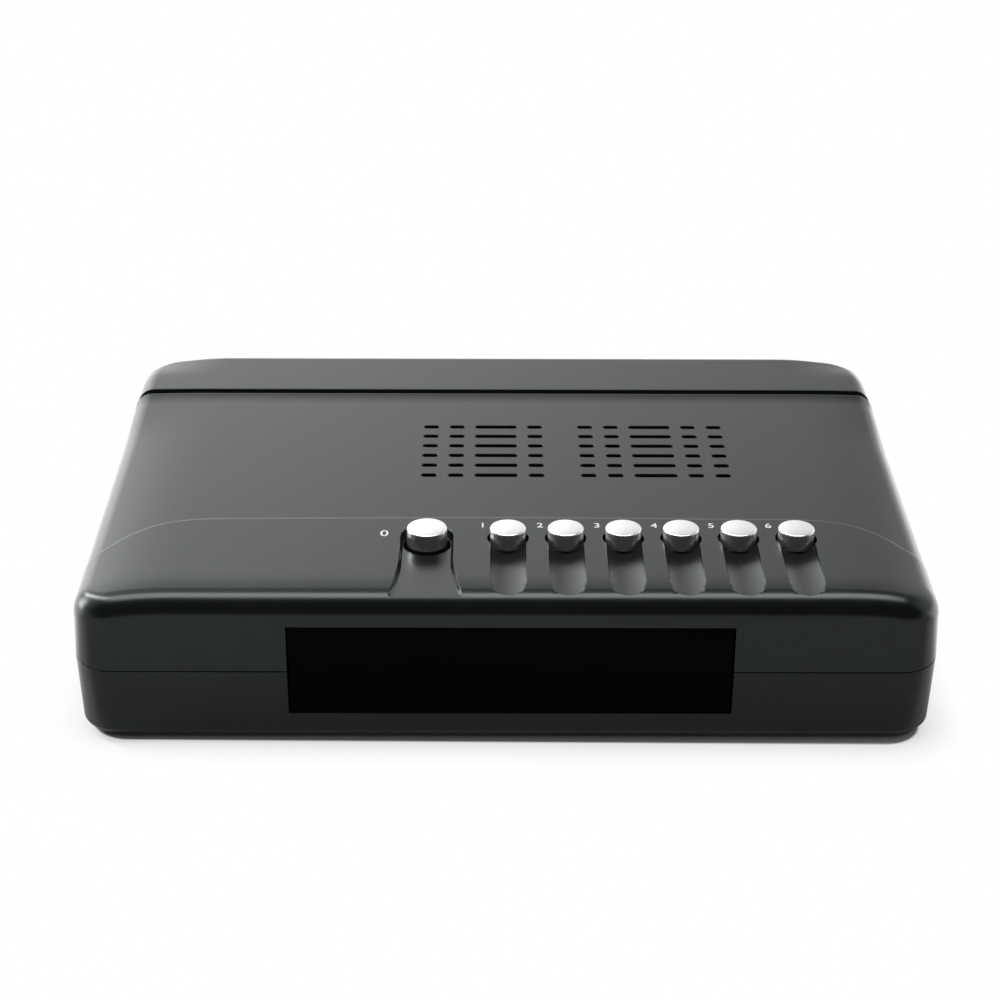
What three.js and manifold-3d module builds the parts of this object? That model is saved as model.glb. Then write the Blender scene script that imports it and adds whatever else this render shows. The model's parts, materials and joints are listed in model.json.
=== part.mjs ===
// A small satellite television receiver in a black moulded plastic case.
//
// The frame is in millimetres: +X to the right as seen from the front, +Y to the back, +Z up, with
// the origin on the surface that the feet stand on. The case is two shells that meet at a parting
// line. Seven push buttons stand in the top, over switches on a key board that hangs from the top.

import * as THREE from 'three';
import Module from 'manifold-3d';
import { mergeVertices } from 'three/addons/utils/BufferGeometryUtils.js';

const wasm = await Module();
wasm.setup();

// Clearances that every piece shares
const seatGap = 0.2; // between a piece and the flat face that it sits on
const looseFit = 0.3; // round a piece that drops into an opening or a slot
const overrun = 2; // how far a cut goes past the face that it opens

// The case, measured round its parting line
const caseWidth = 220;
const caseDepth = 155.4;
const cornerRadius = 11;
const partingHeight = 22;
const partingGap = 0.3;
const upperDraftDegrees = 1.4;
const lowerDraftDegrees = 2.6;
const wallThickness = 2.2;

// The upper shell: its top is level in the middle and falls towards both sides
const topHeight = 43.4;
const topThickness = 2.4;
const topEdgeRadius = 5.2;
const sideFallWidth = 30;
const sideFallFront = 4.6;
const sideFallRear = 0.3;

// The groove across the top, and the strip behind it, which lies a little lower
const grooveRearInset = 29.1; // from the rear of the case, as for the other rear insets
const grooveWidth = 2.1;
const grooveDepth = 1.3;
const stripSink = 0.3;

// The lower shell, with its rounded lower edge
const standHeight = 0.8; // from the table to the flat of the bottom
const lowerEdgeRadius = 2.2;
const floorTopHeight = 3.4;
const tongueHeight = 1.5; // the lower shell's inner rim, which stands inside the upper shell
const tongueThickness = 1;

// The front window
const windowCentreX = 1;
const windowWidth = 112;
const windowBottomZ = 9.7;
const windowTopDrop = 8.3; // from the top of the case to the window's upper edge
const windowSink = 0.9; // behind the parting line's outermost edge
const windowPlateThickness = 2.5;
const windowFlangeWidth = 1.9;
const windowFlangeThickness = 1.2;
const windowCornerRadius = 0.8;

// The air slots in the top: two groups of rows, each with one long slot between short ones
const ventRightGroupInset = 68.5; // from the right side of the case
const ventGroupSpacing = 44;
const ventRowCount = 6;
const ventRearInset = 54.8;
const ventRowPitch = 6.3;
const ventSlotWidth = 2;
const ventLongSlot = 12;
const ventShortSlot = 4.4;
const ventNearOffset = 11.1;
const ventFarOffset = 18.5;

// The row of buttons: a larger power button, then six alike
const buttonFrontInset = 32.3; // from the front of the case
const lastButtonSideInset = 34.55; // from the right side of the case
const buttonPitch = 15;
const powerButtonSpacing = 21.05;
const buttonNames = [
  'menu_button', 'ok_button', 'volume_down_button', 'volume_up_button',
  'channel_down_button', 'channel_up_button',
];
const smallCapRadius = 4.7;
const powerCapRadius = 5.25;
const smallHoleGap = 0.7;
const powerHoleGap = 0.9;
const capStandHeight = 3; // from the top of the case to the rim of a cap
const capDome = 0.25;
const capRimRadius = 0.3;
const capFlangeWidth = 0.9;
const capFlangeThickness = 1;
const capStemRadius = 2.2;
const buttonTravel = 0.5;

// The finger scoops in front of the buttons
const scoopHalfWidth = 4.5;
const scoopDepthAtHole = 1.8;
const scoopDepthAtFront = 0.9;
const recessRadius = 7;
const recessDepth = 2;
const recessFrontDepth = 1.2;
const recessStraightLength = 14;
const recessFlare = 3;
const buttonPadDepth = 1.4; // extra thickness under the scoops

// The key board, its two bosses and the switches
const keyBoardDrop = 11.4; // from the top of the case to the key board's upper face
const boardThickness = 1.6;
const keyBoardSideMargin = 5;
const keyBoardFrontReach = 12;
const keyBoardRearReach = 12;
const bossRadius = 3;
const bossEdgeGap = 2.2; // from a button's flange to the boss beside it
const screwRadius = 1.1;
const screwHeadRadius = 2.5;
const screwHeadHeight = 1.7;
const pilotGap = 0.15;
const screwEndGap = 1; // from a screw's tip to the end of its hole
const switchSide = 6;
const switchBodyHeight = 3.5;
const switchTotalHeight = 5;
const plungerRadius = 1.7;
const plungerGap = 0.15;
const plungerDepth = 1;

// The main board and what stands on it
const mainBoardUnderHeight = 9;
const mainBoardSideGap = 4.4; // to the bosses of the case screws
const mainBoardFrontInset = 28.7;
const mainBoardRearGap = 1.7; // to the rear panel
const mainBossInset = 8;

// The rear panel
const panelThickness = 1.5;
const panelSideInset = 13; // from the side of the case
const panelBottomZ = 5.4;
const panelTopDrop = 6.2; // from the top of the case to the panel's upper edge
const panelSetback = 3.3; // from the parting line's rearmost edge to the panel's outer face
const rearOpeningMargin = 3.4; // how far the panel reaches past the opening

// The rear sockets, which share the rear edge of the main board with equal gaps between them
const socketSideInset = 4;
const tunerWidth = 36;
const tunerLength = 38;
const tunerHeight = 15;
const antennaPitch = 18;
const antennaBarrelRadius = 4.75;
const antennaReach = 12.5;
const antennaAxisRise = 8;
const hdmiWidth = 15;
const hdmiHeight = 6;
const usbWidth = 13.2;
const usbHeight = 6.6;
const socketDepth = 14;
const socketProud = 0.6;
const sheetWall = 0.5;
const audioSocketNames = ['video_socket', 'left_audio_socket', 'right_audio_socket'];
const audioPitch = 14;
const audioBodyWidth = 10.4;
const audioBodyHeight = 12.5;
const audioBarrelRadius = 4.15;
const audioBoreRadius = 1.7;
const audioReach = 9;
const audioAxisRise = 7;
const powerJackWidth = 9;
const powerJackHeight = 11;
const powerJackBoreRadius = 3;
const powerJackPinRadius = 1;
const powerJackAxisRise = 6.5;
const boreDepth = 8;

// The display behind the window
const displayBoardOverhang = 1; // past each side of the window
const displayBoardRise = 2.8; // from the floor of the lower case
const displayBoardTopDrop = 2.1; // from the window's upper edge
const displayWidth = 30.2;
const displayHeight = 14;
const displayDepth = 6.6;
const receiverOffset = -36;
const receiverWidth = 6;
const receiverHeight = 7;
const receiverDepth = 4.5;

// The case screws and the bosses that they draw together
const caseScrewSideInset = 13;
const caseScrewEndInset = 16.7;
const caseScrewRadius = 1.5;
const caseScrewHeadRadius = 2.9;
const caseScrewHeadHeight = 2;
const caseScrewSeatHeight = 12;
const caseScrewLength = 18;
const caseBossRadius = 4.6;
const counterboreRadius = 3.2;

// The feet
const footRadius = 6;
const footSideInset = 22;
const footEndInset = 21.7;
const footSocketDepth = 0.8;

// The air slots in the bottom
const floorVentCount = 6;
const floorVentPitch = 10;
const floorVentLength = 34;
const floorVentWidth = 2.4;
const floorVentGroupX = 34;

// How finely round shapes are faceted
const cornerSteps = 5;
const edgeSteps = 3;
const roundSteps = 18;
const finePieceSteps = 10;
const slotEndSteps = 2;
const xStationShares = [-1, -0.86, -0.72, 0.72, 0.86, 1];
const yStationShares = [-1, -0.4, 0.2, 1];

const halfWidth = caseWidth / 2;
const halfDepth = caseDepth / 2;

// Places that follow the case
const grooveY = halfDepth - grooveRearInset;
const windowLeftX = windowCentreX - windowWidth / 2;
const windowRightX = windowCentreX + windowWidth / 2;
const windowTopZ = topHeight - windowTopDrop;
const ventRightGroupX = halfWidth - ventRightGroupInset;
const ventGroupXs = [ventRightGroupX - ventGroupSpacing, ventRightGroupX];
const ventRearRowY = halfDepth - ventRearInset;
const buttonRowY = -halfDepth + buttonFrontInset;
const firstButtonX = halfWidth - lastButtonSideInset - (buttonNames.length - 1) * buttonPitch;
const powerButtonX = firstButtonX - powerButtonSpacing;
const keyBoardTopHeight = topHeight - keyBoardDrop;
const panelHalfWidth = halfWidth - panelSideInset;
const panelTopZ = topHeight - panelTopDrop;
const panelOuterY = halfDepth - panelSetback;
const panelInnerY = panelOuterY - panelThickness;
const displayBoardHalfWidth = windowWidth / 2 + displayBoardOverhang;
const displayBoardBottomZ = floorTopHeight + displayBoardRise;
const displayBoardTopZ = windowTopZ - displayBoardTopDrop;
const caseScrewX = halfWidth - caseScrewSideInset;
const caseScrewY = halfDepth - caseScrewEndInset;
const footX = halfWidth - footSideInset;
const footY = halfDepth - footEndInset;
const mainBoardHalfWidth = caseScrewX - caseBossRadius - mainBoardSideGap;
const mainBoardFrontY = -halfDepth + mainBoardFrontInset;
const mainBoardRearY = panelInnerY - mainBoardRearGap;

// The sockets' bodies, from the right side of the board to its left
const audioSetWidth = audioPitch * (audioSocketNames.length - 1) + audioBodyWidth;
const socketWidths = [tunerWidth, hdmiWidth, usbWidth, audioSetWidth, powerJackWidth];
const socketSpan = (mainBoardHalfWidth - socketSideInset) * 2;
const socketGap = (socketSpan - socketWidths.reduce((sum, width) => sum + width))
  / (socketWidths.length - 1);
const [tunerCentreX, hdmiCentreX, usbCentreX, audioCentreX, powerJackX] = socketWidths.map(
  (width, i) => socketSpan / 2 - width / 2
    - socketWidths.slice(0, i).reduce((sum, passed) => sum + passed + socketGap, 0),
);

const upperSlope = Math.tan(THREE.MathUtils.degToRad(upperDraftDegrees));
const lowerSlope = Math.tan(THREE.MathUtils.degToRad(lowerDraftDegrees));

const palette = {
  shell: { color: 0x17191a, roughness: 0.42, metalness: 0 },
  window: { color: 0x050506, roughness: 0.08, metalness: 0 },
  silver: { color: 0xc9cbcd, roughness: 0.3, metalness: 0.85 },
  rubber: { color: 0x101010, roughness: 0.85, metalness: 0 },
  board: { color: 0x1d5b33, roughness: 0.5, metalness: 0 },
  steel: { color: 0xb4b7ba, roughness: 0.35, metalness: 1 },
  nickel: { color: 0xc9c4b4, roughness: 0.25, metalness: 1 },
  aluminium: { color: 0x9fa3a6, roughness: 0.4, metalness: 1 },
  blackPlastic: { color: 0x141414, roughness: 0.5, metalness: 0 },
  ribbon: { color: 0xb9bcc0, roughness: 0.55, metalness: 0 },
  yellow: { color: 0xd8b21a, roughness: 0.45, metalness: 0 },
  white: { color: 0xe6e6e2, roughness: 0.45, metalness: 0 },
  red: { color: 0xb3201c, roughness: 0.45, metalness: 0 },
  blue: { color: 0x20304f, roughness: 0.4, metalness: 0 },
};
const materials = Object.fromEntries(
  Object.entries(palette).map(([name, look]) => [name, new THREE.MeshStandardMaterial(look)]),
);

const receiver = new THREE.Group();

function addPiece(name, geometry, materialName) {
  geometry.computeVertexNormals();
  const mesh = new THREE.Mesh(geometry, materials[materialName]);
  mesh.name = name;
  receiver.add(mesh);
}

// Joining vertices, and going to and from the solids that are joined and cut

function welded(geometry) {
  geometry.deleteAttribute('normal');
  geometry.deleteAttribute('uv');
  const merged = mergeVertices(geometry);
  const index = merged.index.array;
  const kept = [];
  for (let i = 0; i < index.length; i += 3) {
    const [a, b, c] = [index[i], index[i + 1], index[i + 2]];
    if (a !== b && b !== c && c !== a) kept.push(a, b, c);
  }
  merged.setIndex(kept);
  return merged;
}

function toSolid(geometry) {
  const merged = welded(geometry);
  return new wasm.Manifold(new wasm.Mesh({
    numProp: 3,
    vertProperties: merged.attributes.position.array,
    triVerts: new Uint32Array(merged.index.array),
  }));
}

function toGeometry(solid) {
  const mesh = solid.getMesh();
  const geometry = new THREE.BufferGeometry();
  geometry.setAttribute('position', new THREE.BufferAttribute(mesh.vertProperties, 3));
  geometry.setIndex(new THREE.BufferAttribute(mesh.triVerts, 1));
  return geometry;
}

const joined = (first, ...others) => others.reduce((sum, part) => sum.add(part), first);
const cutBy = (first, ...others) => others.reduce((rest, part) => rest.subtract(part), first);

function geometryFromFaces(faces) {
  const geometry = new THREE.BufferGeometry();
  const positions = new Float32Array(faces.flat(2));
  geometry.setAttribute('position', new THREE.BufferAttribute(positions, 3));
  return welded(geometry);
}

// Plain shapes

function boxShape([x0, y0, z0], [x1, y1, z1]) {
  const geometry = new THREE.BoxGeometry(x1 - x0, y1 - y0, z1 - z0);
  return geometry.translate((x0 + x1) / 2, (y0 + y1) / 2, (z0 + z1) / 2);
}

function uprightCylinder(radius, x, y, bottom, top, steps = roundSteps) {
  const geometry = new THREE.CylinderGeometry(radius, radius, top - bottom, steps);
  return geometry.rotateX(Math.PI / 2).translate(x, y, (bottom + top) / 2);
}

function levelCylinder(radius, x, z, front, rear, steps = roundSteps) {
  const geometry = new THREE.CylinderGeometry(radius, radius, rear - front, steps);
  return geometry.translate(x, (front + rear) / 2, z);
}

// A turned shape: the profile lists [radius, height] from the axis round to the axis again
function turned(profile, steps = roundSteps) {
  const points = profile.map(([radius, height]) => new THREE.Vector2(radius, height));
  return welded(new THREE.LatheGeometry(points, steps));
}
const turnedUpright = (profile, steps) => turned(profile, steps).rotateX(Math.PI / 2);
const turnedToRear = (profile, steps) => turned(profile, steps);

function slotShape(length, width) {
  const radius = width / 2;
  const reach = length / 2 - radius;
  const shape = new THREE.Shape();
  shape.moveTo(-reach, -radius);
  shape.lineTo(reach, -radius);
  shape.absarc(reach, 0, radius, -Math.PI / 2, Math.PI / 2);
  shape.lineTo(-reach, radius);
  shape.absarc(-reach, 0, radius, Math.PI / 2, Math.PI * 3 / 2);
  return shape;
}

function upright(shape, bottom, top, curveSegments = slotEndSteps) {
  const settings = { depth: top - bottom, bevelEnabled: false, curveSegments };
  return new THREE.ExtrudeGeometry(shape, settings).translate(0, 0, bottom);
}

// A profile drawn in Y and Z, carried along X
function alongX(shape, left, right, curveSegments = slotEndSteps) {
  const settings = { depth: right - left, bevelEnabled: false, curveSegments };
  const geometry = new THREE.ExtrudeGeometry(shape, settings).translate(0, 0, left);
  const turn = new THREE.Matrix4().makeBasis(
    new THREE.Vector3(0, 1, 0), new THREE.Vector3(0, 0, 1), new THREE.Vector3(1, 0, 0),
  );
  return geometry.applyMatrix4(turn);
}

// Cross-sections with the same number of points, skinned in their order and closed at both ends.
// Their points run anticlockwise as seen from beyond the last section.
function skinned(sections) {
  const faces = [];
  const count = sections[0].length;
  for (let s = 0; s + 1 < sections.length; s += 1) {
    const [near, far] = [sections[s], sections[s + 1]];
    for (let i = 0; i < count; i += 1) {
      const j = (i + 1) % count;
      faces.push([near[i], near[j], far[j]], [near[i], far[j], far[i]]);
    }
  }
  const [first, last] = [sections[0], sections[sections.length - 1]];
  for (let i = 1; i + 1 < count; i += 1) {
    faces.push([first[0], first[i + 1], first[i]], [last[0], last[i], last[i + 1]]);
  }
  return geometryFromFaces(faces);
}

// The case's outline, moved inwards, anticlockwise from its front left

function outline(inset) {
  const turn = Math.max(cornerRadius - inset, 0);
  const reachX = halfWidth - inset - turn;
  const reachY = halfDepth - inset - turn;
  const points = [];
  const corner = (signX, signY, startDegrees) => {
    for (let step = 1; step < cornerSteps; step += 1) {
      const angle = THREE.MathUtils.degToRad(startDegrees + 90 * step / cornerSteps);
      points.push([signX * reachX + turn * Math.cos(angle), signY * reachY + turn * Math.sin(angle)]);
    }
  };
  xStationShares.forEach((share) => points.push([share * reachX, -reachY - turn]));
  corner(1, -1, -90);
  yStationShares.forEach((share) => points.push([reachX + turn, share * reachY]));
  corner(1, 1, 0);
  [...xStationShares].reverse().forEach((share) => points.push([share * reachX, reachY + turn]));
  corner(-1, 1, 90);
  [...yStationShares].reverse().forEach((share) => points.push([-reachX - turn, share * reachY]));
  corner(-1, -1, 180);
  return points;
}

// A solid wound from the outline: each ring has an inset and gives its points' heights, from the
// bottom up. The bottom is flat, and the top is flat or follows the last ring's heights.
function caseLoft(rings, crowned) {
  const faces = [];
  const lift = ({ inset, height }) => outline(inset).map(([x, y]) => [x, y, height(x, y)]);
  const loops = rings.map(lift);
  const count = loops[0].length;
  for (let k = 0; k + 1 < loops.length; k += 1) {
    const [low, high] = [loops[k], loops[k + 1]];
    for (let i = 0; i < count; i += 1) {
      const j = (i + 1) % count;
      faces.push([low[i], low[j], high[j]], [low[i], high[j], high[i]]);
    }
  }
  const bottom = loops[0];
  const top = loops[loops.length - 1];
  const bottomCentre = [0, 0, bottom[0][2]];
  bottom.forEach((point, i) => faces.push([bottomCentre, bottom[(i + 1) % count], point]));
  if (crowned) {
    const { inset, height } = rings[rings.length - 1];
    const xs = xStationShares.map((share) => share * (halfWidth - inset));
    const ys = yStationShares.map((share) => share * (halfDepth - inset));
    const at = (i, j) => [xs[i], ys[j], height(xs[i], ys[j])];
    for (let i = 0; i + 1 < xs.length; i += 1) {
      for (let j = 0; j + 1 < ys.length; j += 1) {
        faces.push([at(i, j), at(i + 1, j), at(i + 1, j + 1)]);
        faces.push([at(i, j), at(i + 1, j + 1), at(i, j + 1)]);
      }
    }
  } else {
    const topCentre = [0, 0, top[0][2]];
    top.forEach((point, i) => faces.push([topCentre, point, top[(i + 1) % count]]));
  }
  return toSolid(geometryFromFaces(faces));
}

// The top face: level in the middle, falling towards the sides, more at the front than at the rear
function topAt(x, y) {
  const rearShare = THREE.MathUtils.clamp((y + halfDepth) / caseDepth, 0, 1);
  const fall = THREE.MathUtils.lerp(sideFallFront, sideFallRear, rearShare);
  const outShare = Math.max(0, Math.abs(x) - halfWidth + sideFallWidth) / sideFallWidth;
  return topHeight - fall * outShare ** 3;
}

// The upper shell's form, moved inwards by wall and down by sink, standing on bottom
const edgeMargin = topEdgeRadius / 5;
function upperForm(wall, sink, bottom) {
  const radius = Math.max(topEdgeRadius - wall, topEdgeRadius / 4);
  const wallTopInset = wall + (topHeight - sink - radius - partingHeight) * upperSlope;
  const rings = [{ inset: wall, height: () => bottom }];
  for (let step = 0; step <= edgeSteps; step += 1) {
    const angle = (Math.PI / 2) * step / edgeSteps;
    const drop = radius * (1 - Math.sin(angle));
    rings.push({
      inset: wallTopInset + radius * (1 - Math.cos(angle)),
      height: (x, y) => topAt(x, y) - sink - drop,
    });
  }
  const innerInset = Math.max(cornerRadius, wallTopInset + radius) + edgeMargin;
  rings.push({ inset: innerInset, height: (x, y) => topAt(x, y) - sink });
  return caseLoft(rings, true);
}

// The lower shell's outer form, with its rounded lower edge
function lowerForm(top) {
  const rimInset = (partingHeight - standHeight - lowerEdgeRadius) * lowerSlope;
  const rings = [];
  for (let step = 0; step <= edgeSteps; step += 1) {
    const angle = (Math.PI / 2) * step / edgeSteps;
    const height = standHeight + lowerEdgeRadius * (1 - Math.cos(angle));
    rings.push({ inset: rimInset + lowerEdgeRadius * (1 - Math.sin(angle)), height: () => height });
  }
  rings.push({ inset: 0, height: () => top });
  return caseLoft(rings, false);
}

function levelForm(bottomInset, topInset, bottom, top) {
  return caseLoft([
    { inset: bottomInset, height: () => bottom },
    { inset: topInset, height: () => top },
  ], false);
}

// Where the buttons and the bosses beside them stand
const buttons = [
  { name: 'power_button', x: powerButtonX, radius: powerCapRadius, gap: powerHoleGap },
  ...buttonNames.map((name, i) => ({
    name, x: firstButtonX + i * buttonPitch, radius: smallCapRadius, gap: smallHoleGap,
  })),
];
const flangeRadius = (button) => button.radius + button.gap + capFlangeWidth;
const firstButton = buttons[0];
const lastButton = buttons[buttons.length - 1];
const keyBossXs = [
  firstButton.x - flangeRadius(firstButton) - bossEdgeGap - bossRadius,
  lastButton.x + flangeRadius(lastButton) + bossEdgeGap + bossRadius,
];
const keyBoardUnderHeight = keyBoardTopHeight - boardThickness;
const padUnderHeight = topHeight - topThickness - buttonPadDepth;
const upperRim = partingHeight + partingGap / 2;
const lowerRim = partingHeight - partingGap / 2;

// Case screws sit in the four corners
const caseScrewPlaces = [-1, 1].flatMap((sx) => [-1, 1].map((sy) => [sx * caseScrewX, sy * caseScrewY]));

// The opening in the front for the window, and the one in the rear for the panel
const windowOpening = toSolid(boxShape(
  [windowLeftX - looseFit, -halfDepth - overrun, windowBottomZ - looseFit],
  [windowRightX + looseFit, -halfDepth + wallThickness + overrun, windowTopZ + looseFit],
));
const rearOpening = toSolid(boxShape(
  [-panelHalfWidth + rearOpeningMargin, panelOuterY - overrun, panelBottomZ + rearOpeningMargin],
  [panelHalfWidth - rearOpeningMargin, halfDepth + overrun, panelTopZ - rearOpeningMargin],
));

// The shells keep clear of the panel in a shallow pocket all round it
const panelPocket = toSolid(boxShape(
  [-panelHalfWidth - looseFit, panelInnerY - looseFit, panelBottomZ - looseFit],
  [panelHalfWidth + looseFit, panelOuterY + looseFit, panelTopZ + looseFit],
));

// Upper case
function ventSlots() {
  const slots = [];
  const low = topHeight - sideFallFront - topThickness - overrun;
  const columns = [
    { offset: 0, length: ventLongSlot },
    { offset: -ventNearOffset, length: ventShortSlot },
    { offset: ventNearOffset, length: ventShortSlot },
    { offset: -ventFarOffset, length: ventShortSlot },
    { offset: ventFarOffset, length: ventShortSlot },
  ];
  ventGroupXs.forEach((groupX, group) => {
    columns.forEach(({ offset, length }) => {
      const leftOut = group === 0 && offset === ventFarOffset;
      if (leftOut) return;
      for (let row = 0; row < ventRowCount; row += 1) {
        const prism = upright(slotShape(length, ventSlotWidth), low, topHeight + overrun);
        const y = ventRearRowY - row * ventRowPitch;
        slots.push(toSolid(prism.translate(groupX + offset, y, 0)));
      }
    });
  });
  return slots;
}

// A round-bottomed channel from a button's hole out through the front edge
function fingerScoop(x) {
  const section = (y, depth) => {
    const radius = (scoopHalfWidth ** 2 + depth ** 2) / (2 * depth);
    const halfAngle = Math.asin(Math.min(scoopHalfWidth / radius, 1));
    const centre = topHeight - depth + radius;
    const points = [];
    for (let step = 0; step <= slotEndSteps * 2; step += 1) {
      const angle = -halfAngle + 2 * halfAngle * step / (slotEndSteps * 2);
      points.push([x + radius * Math.sin(angle), y, centre - radius * Math.cos(angle)]);
    }
    points.push([x + scoopHalfWidth, y, topHeight + overrun]);
    points.push([x - scoopHalfWidth, y, topHeight + overrun]);
    return points;
  };
  return toSolid(skinned([
    section(buttonRowY, scoopDepthAtHole),
    section(-halfDepth - overrun, scoopDepthAtFront),
  ]));
}

// The power button's recess: round behind, and flaring towards the front, with a sloping floor
function powerRecess() {
  const shape = new THREE.Shape();
  const flareY = buttonRowY - recessStraightLength;
  const frontY = -halfDepth - overrun;
  shape.moveTo(powerButtonX + recessRadius, buttonRowY);
  shape.absarc(powerButtonX, buttonRowY, recessRadius, 0, Math.PI);
  shape.lineTo(powerButtonX - recessRadius, flareY);
  shape.quadraticCurveTo(
    powerButtonX - recessRadius, (flareY + frontY) / 2,
    powerButtonX - recessRadius - recessFlare, frontY,
  );
  shape.lineTo(powerButtonX + recessRadius + recessFlare, frontY);
  shape.quadraticCurveTo(
    powerButtonX + recessRadius, (flareY + frontY) / 2,
    powerButtonX + recessRadius, flareY,
  );
  const floorAt = (y) => {
    const frontShare = (buttonRowY - y) / (buttonRowY + halfDepth);
    return topHeight - THREE.MathUtils.lerp(recessDepth, recessFrontDepth, frontShare);
  };
  const geometry = upright(shape, topHeight, topHeight + overrun, slotEndSteps * 2);
  const places = geometry.attributes.position;
  for (let i = 0; i < places.count; i += 1) {
    const onFloor = places.getZ(i) < topHeight + overrun / 2;
    if (onFloor) places.setZ(i, floorAt(places.getY(i)));
  }
  return toSolid(geometry);
}

function upperCase() {
  const outer = upperForm(0, 0, upperRim);
  const inner = upperForm(wallThickness, topThickness, upperRim - overrun);
  let shell = outer.subtract(inner);

  // Thicker plastic under the scoops, and the bosses, all rooted halfway into the top wall
  const rootAt = (x, y) => topAt(x, y) - topThickness / 2;
  const pad = toSolid(boxShape(
    [keyBossXs[0] - bossRadius, -halfDepth + wallThickness + topEdgeRadius, padUnderHeight],
    [keyBossXs[1] + bossRadius, buttonRowY + recessRadius + capFlangeWidth, rootAt(0, buttonRowY)],
  ));
  const keyBosses = keyBossXs.map((x) => toSolid(uprightCylinder(
    bossRadius, x, buttonRowY, keyBoardTopHeight + seatGap, padUnderHeight + buttonPadDepth / 2,
    finePieceSteps,
  )));
  const caseBosses = caseScrewPlaces.map(([x, y]) => toSolid(
    uprightCylinder(caseBossRadius, x, y, partingHeight + looseFit, rootAt(x, y)),
  ));
  shell = joined(shell, pad, ...keyBosses, ...caseBosses);

  // The groove and the lower strip behind it follow the form of the shell
  const slab = (rear, front) => toSolid(boxShape(
    [-halfWidth - overrun, front, partingHeight - overrun],
    [halfWidth + overrun, rear, topHeight + overrun],
  ));
  const grooveCore = upperForm(grooveDepth, grooveDepth, partingHeight - overrun * 2);
  const stripCore = upperForm(stripSink, stripSink / 2, partingHeight - overrun * 2);
  const groove = slab(grooveY + grooveWidth / 2, grooveY - grooveWidth / 2).subtract(grooveCore);
  const strip = slab(halfDepth + overrun, grooveY).subtract(stripCore);

  // The rabbet that the lower shell's tongue stands in
  const tongueOuter = wallThickness - tongueThickness;
  const rabbet = levelForm(
    tongueOuter - looseFit, tongueOuter - looseFit,
    upperRim - overrun, lowerRim + tongueHeight + looseFit,
  ).subtract(joined(...caseBosses));

  const holes = buttons.map(({ x, radius, gap }) => toSolid(
    uprightCylinder(radius + gap, x, buttonRowY, padUnderHeight - overrun, topHeight + overrun),
  ));
  const keyPilots = keyBossXs.map((x) => toSolid(uprightCylinder(
    screwRadius + pilotGap, x, buttonRowY, keyBoardTopHeight - overrun, padUnderHeight, finePieceSteps,
  )));
  const casePilots = caseScrewPlaces.map(([x, y]) => toSolid(uprightCylinder(
    caseScrewRadius + pilotGap, x, y, partingHeight - overrun,
    caseScrewSeatHeight + caseScrewLength + screwEndGap, finePieceSteps,
  )));
  return cutBy(
    shell, groove, strip, rabbet, windowOpening, rearOpening, panelPocket,
    ...holes, ...buttons.slice(1).map(({ x }) => fingerScoop(x)), powerRecess(),
    ...keyPilots, ...casePilots, ...ventSlots(),
  );
}
addPiece('upper_case', toGeometry(upperCase()), 'shell');

// Lower case
const mainBoardTop = mainBoardUnderHeight + boardThickness;
const mainBossPlaces = [-1, 1].flatMap((side) => [
  [side * (mainBoardHalfWidth - mainBossInset), mainBoardFrontY + mainBossInset],
  [side * (mainBoardHalfWidth - mainBossInset), mainBoardRearY - tunerLength - mainBossInset],
]);
const footPlaces = [-1, 1].flatMap((sx) => [-1, 1].map((sy) => [sx * footX, sy * footY]));
const windowFaceY = -halfDepth + windowSink;
const windowFlangeRearY = windowFaceY + windowPlateThickness + windowFlangeThickness;
const displayFrontY = windowFlangeRearY + looseFit;
const displayBoardFrontY = displayFrontY + displayDepth + seatGap;
const displayBoardRearY = displayBoardFrontY + boardThickness;

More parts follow.
